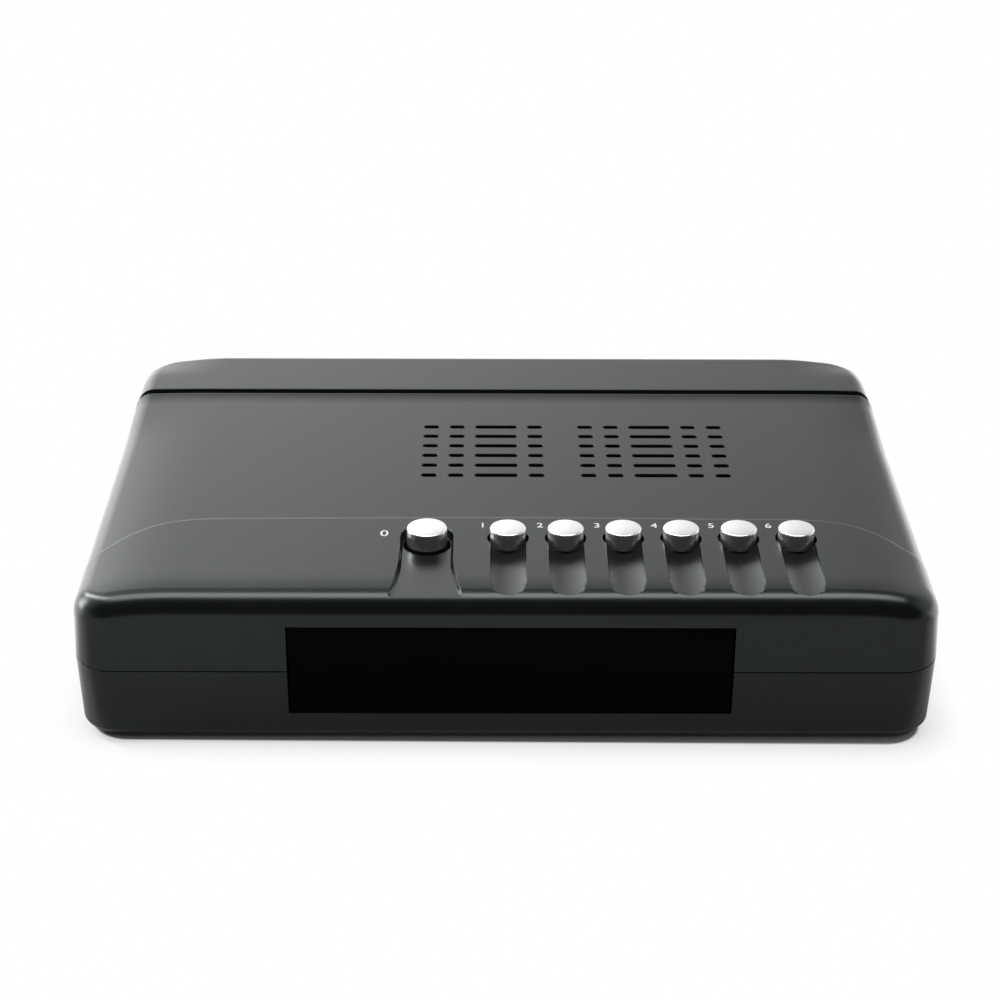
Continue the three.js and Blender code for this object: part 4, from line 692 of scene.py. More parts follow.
def upper_outer(plan):
    p, outward = unrolled(plan)
    bend = np.clip((p - WALL_TOP_P) / TOP_BEND, 0, 1) * math.pi / 2
    wall = np.clip((p - RIM_P) / UPPER_WALL, 0, 1)
    inset = np.where(p > TOP_FLAT_INSET, p, UPPER_WALL_INSET * wall + TOP_EDGE * (1 - np.cos(bend)))
    inset = np.where(p < RIM_P, np.minimum(RIM_P - p, RABBET_INSET), inset)
    place = rolled(plan, p, outward, inset)
    x, y = place.T
    top = top_at(x, y)
    fillet_z = top - TOP_EDGE * (1 - np.sin(bend))
    wall_z = PARTING + PARTING_GAP + (top - TOP_EDGE - PARTING - PARTING_GAP) * wall
    z = np.where(p > WALL_TOP_P, fillet_z, wall_z)
    z = z + np.clip(RIM_P - RABBET_INSET - p, 0, RABBET_HEIGHT)
    up = np.where(p > TOP_FLAT_INSET, 1.0, np.where(p > WALL_TOP_P, np.sin(bend), 0.0))
    flat = np.sqrt(1 - up * up)

    ahead_of_crease = distance_to(place, crease_line)
    step = CREASE_STEP + CREASE_SIDE_STEP * smooth(np.abs(x), *CREASE_SIDE)
    raised = step * smooth(ahead_of_crease, 0, CREASE_WIDTH)
    raised = raised * np.exp(-np.maximum(ahead_of_crease, 0) / CREASE_LENGTH)

    behind = y - GROOVE_Y
    sunk = np.where(behind > 0, STRIP_SINK * (flat + up / 2), 0.0)
    brink = np.abs(behind) - GROOVE_HALF
    lip = np.where(behind < 0, LIP_HEIGHT * np.clip(1 - np.maximum(brink, 0) / LIP_LENGTH, 0, 1) ** 2, 0.0)
    edge = np.where(behind < 0, rounded(brink, GROOVE_FRONT_EDGE), rounded(brink, GROOVE_REAR_EDGE))
    sunk = sunk - (lip + raised) * up + edge
    sunk = np.where(brink < 0, GROOVE_DEPTH * np.clip(-brink / GROOVE_WALL, 0, 1) + sunk, sunk)
    sunk = np.where(p > RIM_P, sunk, 0.0)
    place = place - outward * (sunk * flat)[:, None]
    z = z - sunk * up

    for centre in BUTTON_XS:
        off = np.abs(x - centre)
        inside = (off < SCOOP_HALF) & (y < ROW_Y) & (p > RIM_P)
        z = np.where(inside, np.minimum(z, scoop_floor(off, y)), z)
        z = z - rounded(np.hypot(x - centre, y - HOLE_Y) - SMALL_HOLE, HOLE_EDGE)
    near = (np.abs(x - POWER_X) < RECESS_REACH) & (y < ROW_Y + RECESS_RADIUS + 1) & (p > RIM_P)
    if near.any():
        spot = place[near]
        inside = within(spot, recess_outline)
        away = np.abs(distance_to(spot, recess_outline))
        drop = np.maximum(z[near] - recess_floor(spot[:, 1]), 0) * np.clip(away / RECESS_WALL, 0, 1)
        brink = np.hypot(spot[:, 0] - POWER_X, spot[:, 1] - HOLE_Y) - POWER_HOLE
        z[near] = z[near] - np.where(inside, drop, 0) - rounded(brink, HOLE_EDGE)
    for vent_x, vent_y, length in VENTS:
        off = np.abs(place - (vent_x, vent_y)) - ((length - VENT_WIDTH) / 2, 0)
        away = np.hypot(np.maximum(off[:, 0], 0), off[:, 1]) - VENT_WIDTH / 2
        z = np.where(away < VENT_EDGE, z - rounded(away, VENT_EDGE), z)
    return np.column_stack([place, z])


def upper_inner(plan):
    p, outward = unrolled(plan)
    bend = np.clip((p - WALL_TOP_P) / TOP_BEND, 0, 1) * math.pi / 2
    wall = np.clip((p - RIM_P) / UPPER_WALL, 0, 1)
    inner_edge = TOP_EDGE - WALL
    inset = np.where(p > TOP_FLAT_INSET, p, WALL + UPPER_WALL_INSET * wall + inner_edge * (1 - np.cos(bend)))
    place = rolled(plan, p, outward, inset)
    top = top_at(*place.T) - TOP_THICKNESS
    start = INNER_START + INNER_STEP
    z = np.where(p > WALL_TOP_P, top - inner_edge * (1 - np.sin(bend)),
                 start + (top - inner_edge - start) * wall)
    z = np.where(p < RIM_P, INNER_START + INNER_STEP * np.clip((p - RIM_END) / (RIM_P - RIM_END), 0, 1), z)
    x, y = place.T
    under = smooth(x, PAD_LEFT, PAD_EDGE) * smooth(-x, -PAD_RIGHT, PAD_EDGE)
    under = under * smooth(-y, -PAD_REAR, PAD_EDGE) * smooth(y, PAD_FRONT, PAD_EDGE)
    z = z + np.minimum(PAD_BOTTOM - z, 0) * under
    return np.column_stack([place, z])


# The lines that the mesh of the top follows: each list holds how far they lie from an edge, in
# widths of that edge's rounding, in millimetres or, at the crease, in widths of the crease.
GROOVE_LINES, LIP_LINES = (0, 0.04, 0.12, 0.25, 0.45, 0.7, 1), (0.6, 1.2, 2.0, 3.0, 4.5, 6.5)
CREASE_LINES = (-0.15, 0, 0.2, 0.4, 0.6, 0.8, 1, 1.25, 2.2, 4.4)
SCOOP_LINES, SCOOP_END_LINES, SCOOP_BACK = (0, 0.18, -0.18), (0, 0.2, -0.2), 2.2
RECESS_LINES, RECESS_END = (-0.15, 0, 0.1, 0.2, RECESS_WALL, RECESS_WALL + 0.12), (-11, 11.5)
HOLE_LINES, VENT_LINES = (0.03, 0.1, HOLE_EDGE, HOLE_EDGE + 0.15), (0.05, VENT_EDGE, VENT_EDGE + 0.15)
BEND_RINGS, PAST_BEND, RABBET_RING = 13, 0.6, 0.1
BEND_STATION = 1.2
TOP_GRID_IN, TOP_GRID_STEP = 8, 3.1
CORNER_GRID_IN, CORNER_GRID_WIDTH, CORNER_GRID_START, CORNER_GRID_STEP = 7, 20, 58, (1.3, 1.3)
FLOOR_GRID_START, SCOOP_GRID_IN, SCOOP_GRID_END, SCOOP_GRID_STEP = 3.5, 0.6, 0.5, (0.7, 1.4)
RECESS_GRID_END, RECESS_GRID_STEP = 0.4, (1.4, 1.6)


def line_across(left, right, y, steps=90):
    """A straight line of points from side to side."""
    return np.column_stack([np.linspace(left, right, steps), np.full(steps, y)])


def beside(line, gap):
    """A line moved to its right by a gap."""
    along = np.gradient(line, axis=0)
    along /= np.linalg.norm(along, axis=1, keepdims=True)
    return line + np.column_stack([along[:, 1], -along[:, 0]]) * gap


def bend_place(inset):
    """Where a real inset of the top edge's bend lies on the unrolled case."""
    inset = np.clip(inset, UPPER_WALL_INSET, TOP_FLAT_INSET)
    bend = np.arccos(np.clip(1 - (inset - UPPER_WALL_INSET) / TOP_EDGE, -1, 1))
    return WALL_TOP_P + TOP_BEND * bend / (math.pi / 2)


def front_plan(y):
    """Where a place of the front bend lies on the unrolled case, from its real place along Y."""
    return -HALF_DEPTH + bend_place(HALF_DEPTH + y)


def upper_p(height):
    """Where a height of the upper case's wall lies on the unrolled case."""
    return RIM_P + height - PARTING - PARTING_GAP


wide = HALF_WIDTH - RIM_END + 2
lines = [line_across(-wide, wide, GROOVE_Y + side * (GROOVE_HALF + gap * edge))
         for side, edge in ((-1, GROOVE_FRONT_EDGE), (1, GROOVE_REAR_EDGE))
         for gap in (-GROOVE_WALL / edge, *GROOVE_LINES)]
lines += [line_across(-wide, wide, GROOVE_Y - GROOVE_HALF - gap) for gap in LIP_LINES]
for share in CREASE_LINES:
    moved = beside(crease_line, CREASE_WIDTH * share)
    inset = HALF_WIDTH - np.abs(moved[:, 0])
    on_bend = np.sign(moved[:, 0]) * (HALF_WIDTH - bend_place(inset))
    moved[:, 0] = np.where(inset < TOP_FLAT_INSET, on_bend, moved[:, 0])
    lines.append(moved[inset > UPPER_WALL_INSET + 0.05])


def where_buried(x, floor_at, nearest=0.5, farthest=8):
    """How far forward a floor, which gives its height at a place, stays under the front bend."""
    low, high = -HALF_DEPTH + nearest, -HALF_DEPTH + farthest
    for _ in range(40):
        middle = (low + high) / 2
        inset = min(HALF_DEPTH + middle, TOP_FLAT_INSET)
        bend = math.acos(max(-1, min(1, 1 - (inset - UPPER_WALL_INSET) / TOP_EDGE)))
        skin = float(top_at(x, middle)) - TOP_EDGE * (1 - math.sin(bend))
        low, high = (low, middle) if skin > floor_at(middle) else (middle, high)
    return (low + high) / 2


points = [case_grid(TOP_GRID_IN, TOP_GRID_STEP)]
for x in (-HALF_WIDTH + CORNER_GRID_IN, HALF_WIDTH - CORNER_GRID_IN - CORNER_GRID_WIDTH):
    points.append(grid((x, CORNER_GRID_START), (x + CORNER_GRID_WIDTH, HALF_DEPTH - CORNER_GRID_IN),
                       CORNER_GRID_STEP))
for centre in BUTTON_XS:
    end = []
    for off in np.sin(np.linspace(-1, 1, 25) * math.pi / 2) * SCOOP_HALF:
        buried = where_buried(centre + off, lambda y: scoop_floor(off, y))
        end.append((centre + off, float(front_plan(buried))))
    end = np.array(end)
    for side in (-1, 1):
        for gap in SCOOP_LINES:
            run = np.linspace(ROW_Y - SCOOP_BACK, end[0, 1], 18)
            lines.append(np.column_stack([np.full(18, centre + side * (SCOOP_HALF - gap)), run]))
    lines += [end + (0, gap) for gap in SCOOP_END_LINES]
    reach = SCOOP_HALF - SCOOP_GRID_IN
    points.append(grid((centre - reach, -HALF_DEPTH + FLOOR_GRID_START),
                       (centre + reach, ROW_Y - SMALL_HOLE - SCOOP_GRID_END), SCOOP_GRID_STEP))
for gap in RECESS_LINES:
    moved = beside(recess_outline, -gap)
    moved[:, 1] = np.where(moved[:, 1] < -HALF_DEPTH + TOP_FLAT_INSET, front_plan(moved[:, 1]), moved[:, 1])
    lines.append(moved[moved[:, 1] > -HALF_DEPTH + WALL_TOP_P + 1])
recess_front = float(front_plan(where_buried(POWER_X, recess_floor)))
lines += [line_across(POWER_X + RECESS_END[0], POWER_X + RECESS_END[1], recess_front + gap, 24)
          for gap in SCOOP_END_LINES]
points.append(grid((POWER_X - RECESS_RADIUS, -HALF_DEPTH + FLOOR_GRID_START),
                   (POWER_X + RECESS_RADIUS, ROW_Y - POWER_HOLE - RECESS_GRID_END), RECESS_GRID_STEP))

button_holes = [(x, SMALL_HOLE) for x in BUTTON_XS] + [(POWER_X, POWER_HOLE)]
holes = [notch(WINDOW_X, upper_p(UPPER_WINDOW_EDGE), -1), notch(REAR_X, upper_p(UPPER_REAR_EDGE), 1)]
holes += [circle((x, HOLE_Y), radius) for x, radius in button_holes]
holes += [slot((x, y), length, VENT_WIDTH) for x, y, length in VENTS]
loops = [case_ring(p) for p in (RIM_P - RABBET_INSET, RIM_P - RABBET_INSET + RABBET_RING, RIM_P - RIM_RING,
                                RIM_P, RIM_P + RIM_RING)]
loops += [case_ring(p, BEND_STATION) for p in (
    *np.linspace(WALL_TOP_P, TOP_FLAT_INSET, BEND_RINGS), TOP_FLAT_INSET + PAST_BEND)]
loops += [circle((x, HOLE_Y), radius + gap) for x, radius in button_holes for gap in HOLE_LINES]
loops += [slot((x, y), length + 2 * gap, VENT_WIDTH + 2 * gap) for x, y, length in VENTS
          for gap in VENT_LINES]
plan, tris = triangles(case_ring(RIM_END), holes, loops, lines, np.vstack(points))
UPPER_BOSS_BORE, UPPER_BOSS_START, UPPER_BOSS_COVER = (1.65, 31.0), 0.3, 1.2
KEY_POST_XS = (POWER_X - 12.25, BUTTON_XS[-1] + 11.4)
KEY_POST_RADIUS, KEY_POST_BORE, KEY_POST_BOTTOM, KEY_POST_ROOT = 3.0, 1.25, 32.2, 0.7
bosses = [post(place, BOSS_RADIUS, [UPPER_BOSS_BORE], PARTING + UPPER_BOSS_START,
               float(top_at(*place)) - UPPER_BOSS_COVER) for place in SCREW_PLACES]
bosses += [post((x, ROW_Y), KEY_POST_RADIUS, [(KEY_POST_BORE, PAD_BOTTOM)], KEY_POST_BOTTOM,
                PAD_BOTTOM + KEY_POST_ROOT) for x in KEY_POST_XS]
upper_case = moulded_shell("upper_case_shell", plan, tris, upper_outer, upper_inner, case_black, extra=bosses)
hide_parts("upper_case")
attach(upper_case, "receiver_body")


# Front window: a plate of black tinted acrylic with polished faces. Its flange stands behind the
# front wall and keeps it in the opening.
WINDOW_LEFT, WINDOW_RIGHT, WINDOW_LOW, WINDOW_HIGH = -55.0, 57.0, 9.7, 35.1
WINDOW_FACE = -HALF_DEPTH + 0.9
WINDOW_PLATE, WINDOW_FLANGE, FLANGE_WIDTH = 2.5, 1.2, 1.9
WINDOW_CORNER, WINDOW_EDGE = 0.8, 0.25


def rounded_frame(low, high, corner, inset=0.0, steps=6):
    """A rectangle with round corners in a plane, moved inwards by an inset."""
    low, high = np.array(low) + inset, np.array(high) - inset
    radius = max(corner - inset, 0.02)
    return np.vstack([arc((x, y), radius, start, start + 90, steps) for x, y, start in (
        (high[0] - radius, low[1] + radius, -90), (high[0] - radius, high[1] - radius, 0),
        (low[0] + radius, high[1] - radius, 90), (low[0] + radius, low[1] + radius, 180))])


def stacked(loops):
    """A closed solid through loops of points, with a flat face at each end."""
    count = len(loops[0])
    faces = [list(range(count))[::-1]]
    for k in range(len(loops) - 1):
        faces += [[k * count + i, k * count + (i + 1) % count, (k + 1) * count + (i + 1) % count,
                   (k + 1) * count + i] for i in range(count)]
    faces.append([(len(loops) - 1) * count + i for i in range(count)])
    return np.vstack(loops), faces


def facing(loop, y):
    """Puts a loop of the X-Z plane at a place along Y."""
    return np.column_stack([loop[:, 0], np.full(len(loop), y), loop[:, 1]])


def together(*solids):
    """Several solids as one list of points and faces."""
    points, faces, start = [], [], 0
    for more_points, more_faces in solids:
        points.append(more_points)
        faces += [[start + i for i in face] for face in more_faces]
        start += len(more_points)
    return np.vstack(points), faces


def piece(name, solid, material, body="receiver_body", node=None, crisp=40):
    """Makes a visible piece from points and faces, and ties it to its body."""
    made = add_object(name, solid[0], solid[1], None, material)
    made.data.set_sharp_from_angle(angle=math.radians(crisp))
    if node:
        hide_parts(node)
    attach(made, body)
    return made


tinted = bpy.data.materials.new("tinted_acrylic")
finish = Finish(tinted)
place = finish.node("TexCoord", output="Object")
haze = finish.node("TexNoise", inputs={"Vector": place, "Scale": 90.0, "Detail": 5.0, "Roughness": 0.6})
finish.node("OutputMaterial", inputs={"Surface": finish.node("BsdfPrincipled", inputs={
    "Base Color": finish.blend(haze, (0.0006, 0.0006, 0.0008, 1), (0.0011, 0.0011, 0.0013, 1)),
    "Roughness": haze.between(0.3, 0.7, 0.03, 0.09), "IOR": 1.1})})


def window_frame(grow=0.0, inset=0.0):
    return rounded_frame((WINDOW_LEFT - grow, WINDOW_LOW - grow), (WINDOW_RIGHT + grow, WINDOW_HIGH + grow),
                         WINDOW_CORNER, inset)


window_loops = []
for bend in (0, 30, 60, 90):
    s, c = math.sin(math.radians(bend)), math.cos(math.radians(bend))
    window_loops.append(facing(window_frame(inset=WINDOW_EDGE * (1 - s)),
                               WINDOW_FACE + WINDOW_EDGE * (1 - c)))
flange, flange_face = window_frame(FLANGE_WIDTH), WINDOW_FACE + WINDOW_PLATE
window_loops += [facing(window_frame(), flange_face), facing(flange, flange_face),
                 facing(flange, flange_face + WINDOW_FLANGE)]
piece("window_pane", stacked(window_loops), tinted, node="front_window")


# Buttons: caps moulded in black plastic, their upper part painted satin silver. Each stands through
# its hole, on a flange that keeps it under the case and a stem that presses its switch. The paint ends
# at about the height of each hole's front brink, so the black below it also serves as painted shade in the
# gap round the cap.
POWER_CAP_RADII, SMALL_CAP_RADII = (5.25, 7.05), (4.7, 6.2)
BUTTONS = [("power_button", POWER_X, *POWER_CAP_RADII)] + [
    (name + "_button", x, *SMALL_CAP_RADII) for name, x in zip(
        ("menu", "ok", "volume_down", "volume_up", "channel_down", "channel_up"), BUTTON_XS)]
CAP_RIM_HEIGHT, CAP_DOME, CAP_RIM = TOP + 3.0, 0.25, 0.5
STEM_RADIUS, STEM_EDGE, STEM_BOTTOM, FLANGE_LOW, FLANGE_HIGH = 2.2, 0.2, 37.5, 38.3, 39.3
# Where the silver starts: the black below is the cap's own plastic and also painted shade of the gap round
# it.
SILVER_START_OVER_SHADE, SILVER_FULL_OVER_SHADE = TOP - 1.65, TOP - 1.45

silver = bpy.data.materials.new("satin_silver_paint")
finish = Finish(silver)
place = finish.node("TexCoord", output="Object")
flakes = finish.node("TexVoronoi", inputs={"Vector": place, "Scale": 9000.0}, output="Color")
flake, _, _ = finish.parts(flakes)
_, _, height = finish.parts(place)
# Black below the paint line, which doubles as painted shade in the gap round each cap.
silver_paint_and_shade_band = height.between(SILVER_START_OVER_SHADE * MM, SILVER_FULL_OVER_SHADE * MM)
drift = finish.node("TexNoise", inputs={"Vector": place, "Scale": 220.0, "Detail": 4.0})
finish.node("OutputMaterial", inputs={"Surface": finish.node("BsdfPrincipled", inputs={
    "Base Color": finish.blend(silver_paint_and_shade_band, (0.01, 0.01, 0.01, 1), finish.blend(
        flake * 0.6 + drift * 0.4, (0.93, 0.93, 0.94, 1), (0.98, 0.98, 0.98, 1))),
    "Metallic": silver_paint_and_shade_band * 0.95, "Roughness": 0.25 + flake * 0.08 + (drift - 0.5) * 0.03,
    "Normal": finish.node("Bump", inputs={"Height": flake, "Strength": 0.25, "Distance": 0.00001})})})
for name, x, radius, flange_radius in BUTTONS:
    profile = [(0, STEM_BOTTOM), (STEM_RADIUS - STEM_EDGE, STEM_BOTTOM),
               (STEM_RADIUS, STEM_BOTTOM + STEM_EDGE), (STEM_RADIUS, FLANGE_LOW),
               (flange_radius, FLANGE_LOW), (flange_radius, FLANGE_HIGH), (radius, FLANGE_HIGH),
               (radius, CAP_RIM_HEIGHT - CAP_RIM)]
    for bend in (15, 30, 45, 60, 75, 86):
        s, c = math.sin(math.radians(bend)), math.cos(math.radians(bend))
        profile.append((radius - CAP_RIM * (1 - c), CAP_RIM_HEIGHT - CAP_RIM * (1 - s)))
    brink, brink_height = profile[-1]
    rise = CAP_RIM_HEIGHT + CAP_DOME - brink_height
    for share in (0.85, 0.65, 0.45, 0.22, 0):
        profile.append((brink * share, brink_height + rise * (1 - share * share)))
    piece(name + "_cap", turned(profile, centre=(x, ROW_Y, 0)), silver, body=name, node=name)


# Rubber feet: four soft black discs of moulded rubber with a ringed tread, glued into the sockets
# of the lower case.
FOOT_RADIUS, FOOT_TOP = 6.0, 1.4
TREAD = [(0, 0.06), (1.6, 0.06), (1.8, 0), (2.3, 0), (2.5, 0.12), (3.1, 0.12), (3.3, 0), (3.8, 0),
         (4.0, 0.12), (4.6, 0.12), (4.8, 0), (5.45, 0), (5.8, 0.1), (FOOT_RADIUS, 0.35)]
rubber = bpy.data.materials.new("foot_rubber")
finish = Finish(rubber)
place = finish.node("TexCoord", output="Object")
skin = finish.node("TexNoise", inputs={"Vector": place, "Scale": 2600.0, "Detail": 4.0, "Roughness": 0.65})
dust = finish.node("TexNoise", inputs={"Vector": place, "Scale": 240.0, "Detail": 5.0})
finish.node("OutputMaterial", inputs={"Surface": finish.node("BsdfPrincipled", inputs={
    "Base Color": finish.blend(dust.between(0.4, 0.7), (0.009, 0.009, 0.010, 1), (0.026, 0.025, 0.024, 1)),
    "Roughness": 0.72 + (skin - 0.5) * 0.3,
    "Normal": finish.node("Bump", inputs={"Height": skin, "Strength": 0.5, "Distance": 0.00004})})})
for i, (x, y) in enumerate(FOOT_PLACES):
    pad = turned(TREAD + [(FOOT_RADIUS, FOOT_TOP), (0, FOOT_TOP)], centre=(x, y, 0))
    piece("foot_pad_%d" % (i + 1), pad, rubber, node="rubber_foot_%d" % (i + 1))


# Rear panel: a flat sheet of black plastic, cut round each socket. Its edges stand in a slot that
# the two halves of the case close round.
PANEL_HALF, PANEL_LOW, PANEL_HIGH = 97.0, 5.4, 37.2
PANEL_FACE, PANEL_THICKNESS, PANEL_CORNER = HALF_DEPTH - 3.3, 1.5, 0.5
CUT_MARGIN, CUT_EDGE, SQUARE_CUT_CORNER = 0.3, 0.2, 0.4
PANEL_LINES, PANEL_GRID_IN, PANEL_GRID_STEP = (0.05, 0.12, CUT_EDGE, CUT_EDGE + 0.15), (4, 3), (8, 6)
ON_BOARD = 10.8
ANTENNAS = [("dish_input_connector", 75.0), ("loop_output_connector", 57.0)]
ANTENNA_AXIS, ANTENNA_RADIUS = 18.8, 4.75
PHONOS = [("video_socket", -27.7), ("left_audio_socket", -41.7), ("right_audio_socket", -55.7)]
PHONO_AXIS, PHONO_RADIUS = 17.8, 4.15
HDMI_X, HDMI_WIDTH, HDMI_HEIGHT = 26.4, 15.0, 6.0
USB_X, USB_WIDTH, USB_HEIGHT = -1.8, 13.2, 6.6
INLET_X, INLET_WIDTH, INLET_HEIGHT = -79.5, 9.0, 11.0
panel_cuts = [(x, ANTENNA_AXIS, ANTENNA_RADIUS, ANTENNA_RADIUS, ANTENNA_RADIUS) for _, x in ANTENNAS]
panel_cuts += [(x, PHONO_AXIS, PHONO_RADIUS, PHONO_RADIUS, PHONO_RADIUS) for _, x in PHONOS]
panel_cuts += [(x, ON_BOARD + height / 2, width / 2, height / 2, SQUARE_CUT_CORNER) for x, width, height in (
    (HDMI_X, HDMI_WIDTH, HDMI_HEIGHT), (USB_X, USB_WIDTH, USB_HEIGHT), (INLET_X, INLET_WIDTH, INLET_HEIGHT))]


def cut_loop(cut, gap):
    """A loop round a hole in the panel. Each hole is its middle, its half sizes and its corner."""
    x, z, half_width, half_height, corner = cut
    grow = CUT_MARGIN + gap
    if half_width == corner:
        return circle((x, z), corner + grow)
    return rounded_frame((x - half_width - grow, z - half_height - grow),
                         (x + half_width + grow, z + half_height + grow), corner + gap)


def panel_face(plan):
    y = np.full(len(plan), PANEL_FACE)
    for x, z, half_width, half_height, corner in panel_cuts:
        past = np.abs(plan - (x, z)) - (half_width + CUT_MARGIN - corner, half_height + CUT_MARGIN - corner)
        y -= rounded(np.hypot(*np.maximum(past, 0).T) - corner, CUT_EDGE)
    return np.column_stack([plan[:, 0], y, plan[:, 1]])


def panel_back(plan):
    return np.column_stack([plan[:, 0], np.full(len(plan), PANEL_FACE - PANEL_THICKNESS), plan[:, 1]])


panel_black = plastic("panel_black", colour=(0.0075, 0.0078, 0.0080), roughness=0.42, grain=0.00016,
                      grain_depth=0.000012)
in_x, in_z = PANEL_GRID_IN
plan, tris = triangles(
    rounded_frame((-PANEL_HALF, PANEL_LOW), (PANEL_HALF, PANEL_HIGH), PANEL_CORNER),
    [cut_loop(cut, 0) for cut in panel_cuts],
    [cut_loop(cut, gap) for cut in panel_cuts for gap in PANEL_LINES], [],
    grid((-PANEL_HALF + in_x, PANEL_LOW + in_z), (PANEL_HALF - in_x, PANEL_HIGH - in_z), PANEL_GRID_STEP))
panel = moulded_shell("rear_plate", plan, tris, panel_face, panel_back, panel_black, True)
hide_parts("rear_panel")
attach(panel, "receiver_body")


# Antenna connectors: threaded nickel-plated barrels that reach out of the tuner, each held to the
# panel by a washer and a hexagon nut, with a white insulator round its contact.
WASHER_RADIUS, WASHER_EDGE, WASHER_START, WASHER_END = 6.1, 0.1, 74.6, 74.85
NUT_RADIUS, NUT_START, NUT_END, NUT_CHAMFER = 6.2, 74.9, 77.2, 0.35
THREAD_START, THREAD_END, THREAD_PITCH, THREAD_DEPTH, THREAD_STEP = 77.3, 86.5, 0.85, 0.36, 0.09
ANTENNA_START, ANTENNA_END, ANTENNA_CHAMFER, MOUTH_EDGE = 71.4, 86.9, 0.35, 0.12
INSULATOR_RADIUS, INSULATOR_FACE, INSULATOR_LENGTH, INSULATOR_GAP = 3.6, 86.1, 0.5, 0.02
CONTACT_RADIUS, CONTACT_CONE, CONTACT_DEPTH = 0.9, (0.5, 0.25), 0.4


def threaded(solid, centre, crest, start, end, pitch, depth, axis=1):
    """Cuts a helical thread into the barrel of a turned solid."""
    points, faces = solid
    across = [k for k in (0, 1, 2) if k != axis]
    away = points[:, across] - np.array(centre)[across]
    radius, height = np.hypot(*away.T), points[:, axis]
    turn = np.arctan2(away[:, 1], away[:, 0]) / (2 * math.pi)
    phase = (height / pitch - turn) % 1
    cut = depth * np.clip(1.25 - 2.5 * np.abs(phase - 0.5), 0, 1)
    run = np.clip((height - start) / (pitch * 0.8), 0, 1) * np.clip((end - height) / (pitch * 0.8), 0, 1)
    scale = np.where(np.abs(radius - crest) < 0.01, 1 - cut * run / crest, 1)
    points = points.copy()
    points[:, across] = np.array(centre)[across] + away * scale[:, None]
    return points, faces


def metal(name, low, high, roughness, drawn=(1.0, 1.0, 1.0)):
    """Bare or plated metal with the fine marks of its making, which run along the shortest of drawn."""
    made = bpy.data.materials.new(name)
    finish = Finish(made)
    place = finish.node("TexCoord", output="Object")
    marks = finish.node("TexNoise", inputs={"Vector": finish.node("VectorMath", {"operation": "MULTIPLY"}, [
        place, drawn]), "Scale": 5200.0, "Detail": 4.0, "Roughness": 0.6})
    tarnish = finish.node("TexNoise", inputs={
        "Vector": place, "Scale": 260.0, "Detail": 5.0, "Roughness": 0.6})
    finish.node("OutputMaterial", inputs={"Surface": finish.node("BsdfPrincipled", inputs={
        "Base Color": finish.blend(tarnish.between(0.3, 0.7), (*low, 1), (*high, 1)), "Metallic": 1.0,
        "Roughness": roughness + (marks - 0.5) * 0.16 + (tarnish - 0.5) * 0.12,
        "Normal": finish.node("Bump", inputs={"Height": marks, "Strength": 0.3, "Distance": 0.000008})})})
    return made


def prism(corners, radius, start, end, centre, chamfer):
    """A nut or another even-sided bar along Y, with chamfered ends."""
    turn = np.arange(corners) * 2 * math.pi / corners
    flat = np.column_stack([np.cos(turn), np.sin(turn)])
    slope = chamfer * 0.6
    loops = [facing(np.array(centre) + flat * (radius - cut), y) for cut, y in (
        (chamfer, start), (0, start + slope), (0, end - slope), (chamfer, end))]
    return stacked([loop[::-1] for loop in loops])


nickel = metal("nickel_plating", (0.52, 0.50, 0.46), (0.66, 0.64, 0.60), 0.24)
insulator_white = plastic("insulator_white", colour=(0.74, 0.73, 0.69), roughness=0.4, grain=0.0004,
                          grain_depth=0.00001)
bottom, face = INSULATOR_FACE - INSULATOR_LENGTH, INSULATOR_FACE
barrel_profile = [(0, ANTENNA_START), (ANTENNA_RADIUS, ANTENNA_START), (ANTENNA_RADIUS, THREAD_START)]
barrel_profile += [(ANTENNA_RADIUS, y)
                   for y in np.arange(THREAD_START + THREAD_STEP, THREAD_END, THREAD_STEP)]
barrel_profile += [(ANTENNA_RADIUS, THREAD_END), (ANTENNA_RADIUS - ANTENNA_CHAMFER, ANTENNA_END),
                   (INSULATOR_RADIUS + MOUTH_EDGE, ANTENNA_END), (INSULATOR_RADIUS, ANTENNA_END - MOUTH_EDGE),
                   (INSULATOR_RADIUS, bottom), (0, bottom)]
washer_profile = [(0, WASHER_START), (WASHER_RADIUS - WASHER_EDGE, WASHER_START),
                  (WASHER_RADIUS, WASHER_START + WASHER_EDGE), (WASHER_RADIUS, WASHER_END),
                  (WASHER_RADIUS - WASHER_EDGE, NUT_START), (0, NUT_START)]
disc, (cone_width, cone_depth) = INSULATOR_RADIUS - INSULATOR_GAP, CONTACT_CONE
insulator_profile = [(0, bottom), (disc, bottom), (disc, face - 0.05), (INSULATOR_RADIUS - 0.1, face),
                     (CONTACT_RADIUS + cone_width, face), (CONTACT_RADIUS, face - cone_depth),
                     (CONTACT_RADIUS, face - CONTACT_DEPTH), (0, face - CONTACT_DEPTH)]
for name, x in ANTENNAS:
    centre = (x, 0.0, ANTENNA_AXIS)
    barrel = threaded(turned(barrel_profile, 48, centre, True), centre, ANTENNA_RADIUS, THREAD_START,
                      THREAD_END, THREAD_PITCH, THREAD_DEPTH)
    washer = turned(washer_profile, 48, centre, True)
    nut = prism(6, NUT_RADIUS, NUT_START, NUT_END, (x, ANTENNA_AXIS), NUT_CHAMFER)
    piece(name + "_barrel", together(barrel, washer, nut), nickel, node=name, crisp=30)
    piece(name.replace("connector", "insulator"), turned(insulator_profile, 48, centre, True),
          insulator_white)


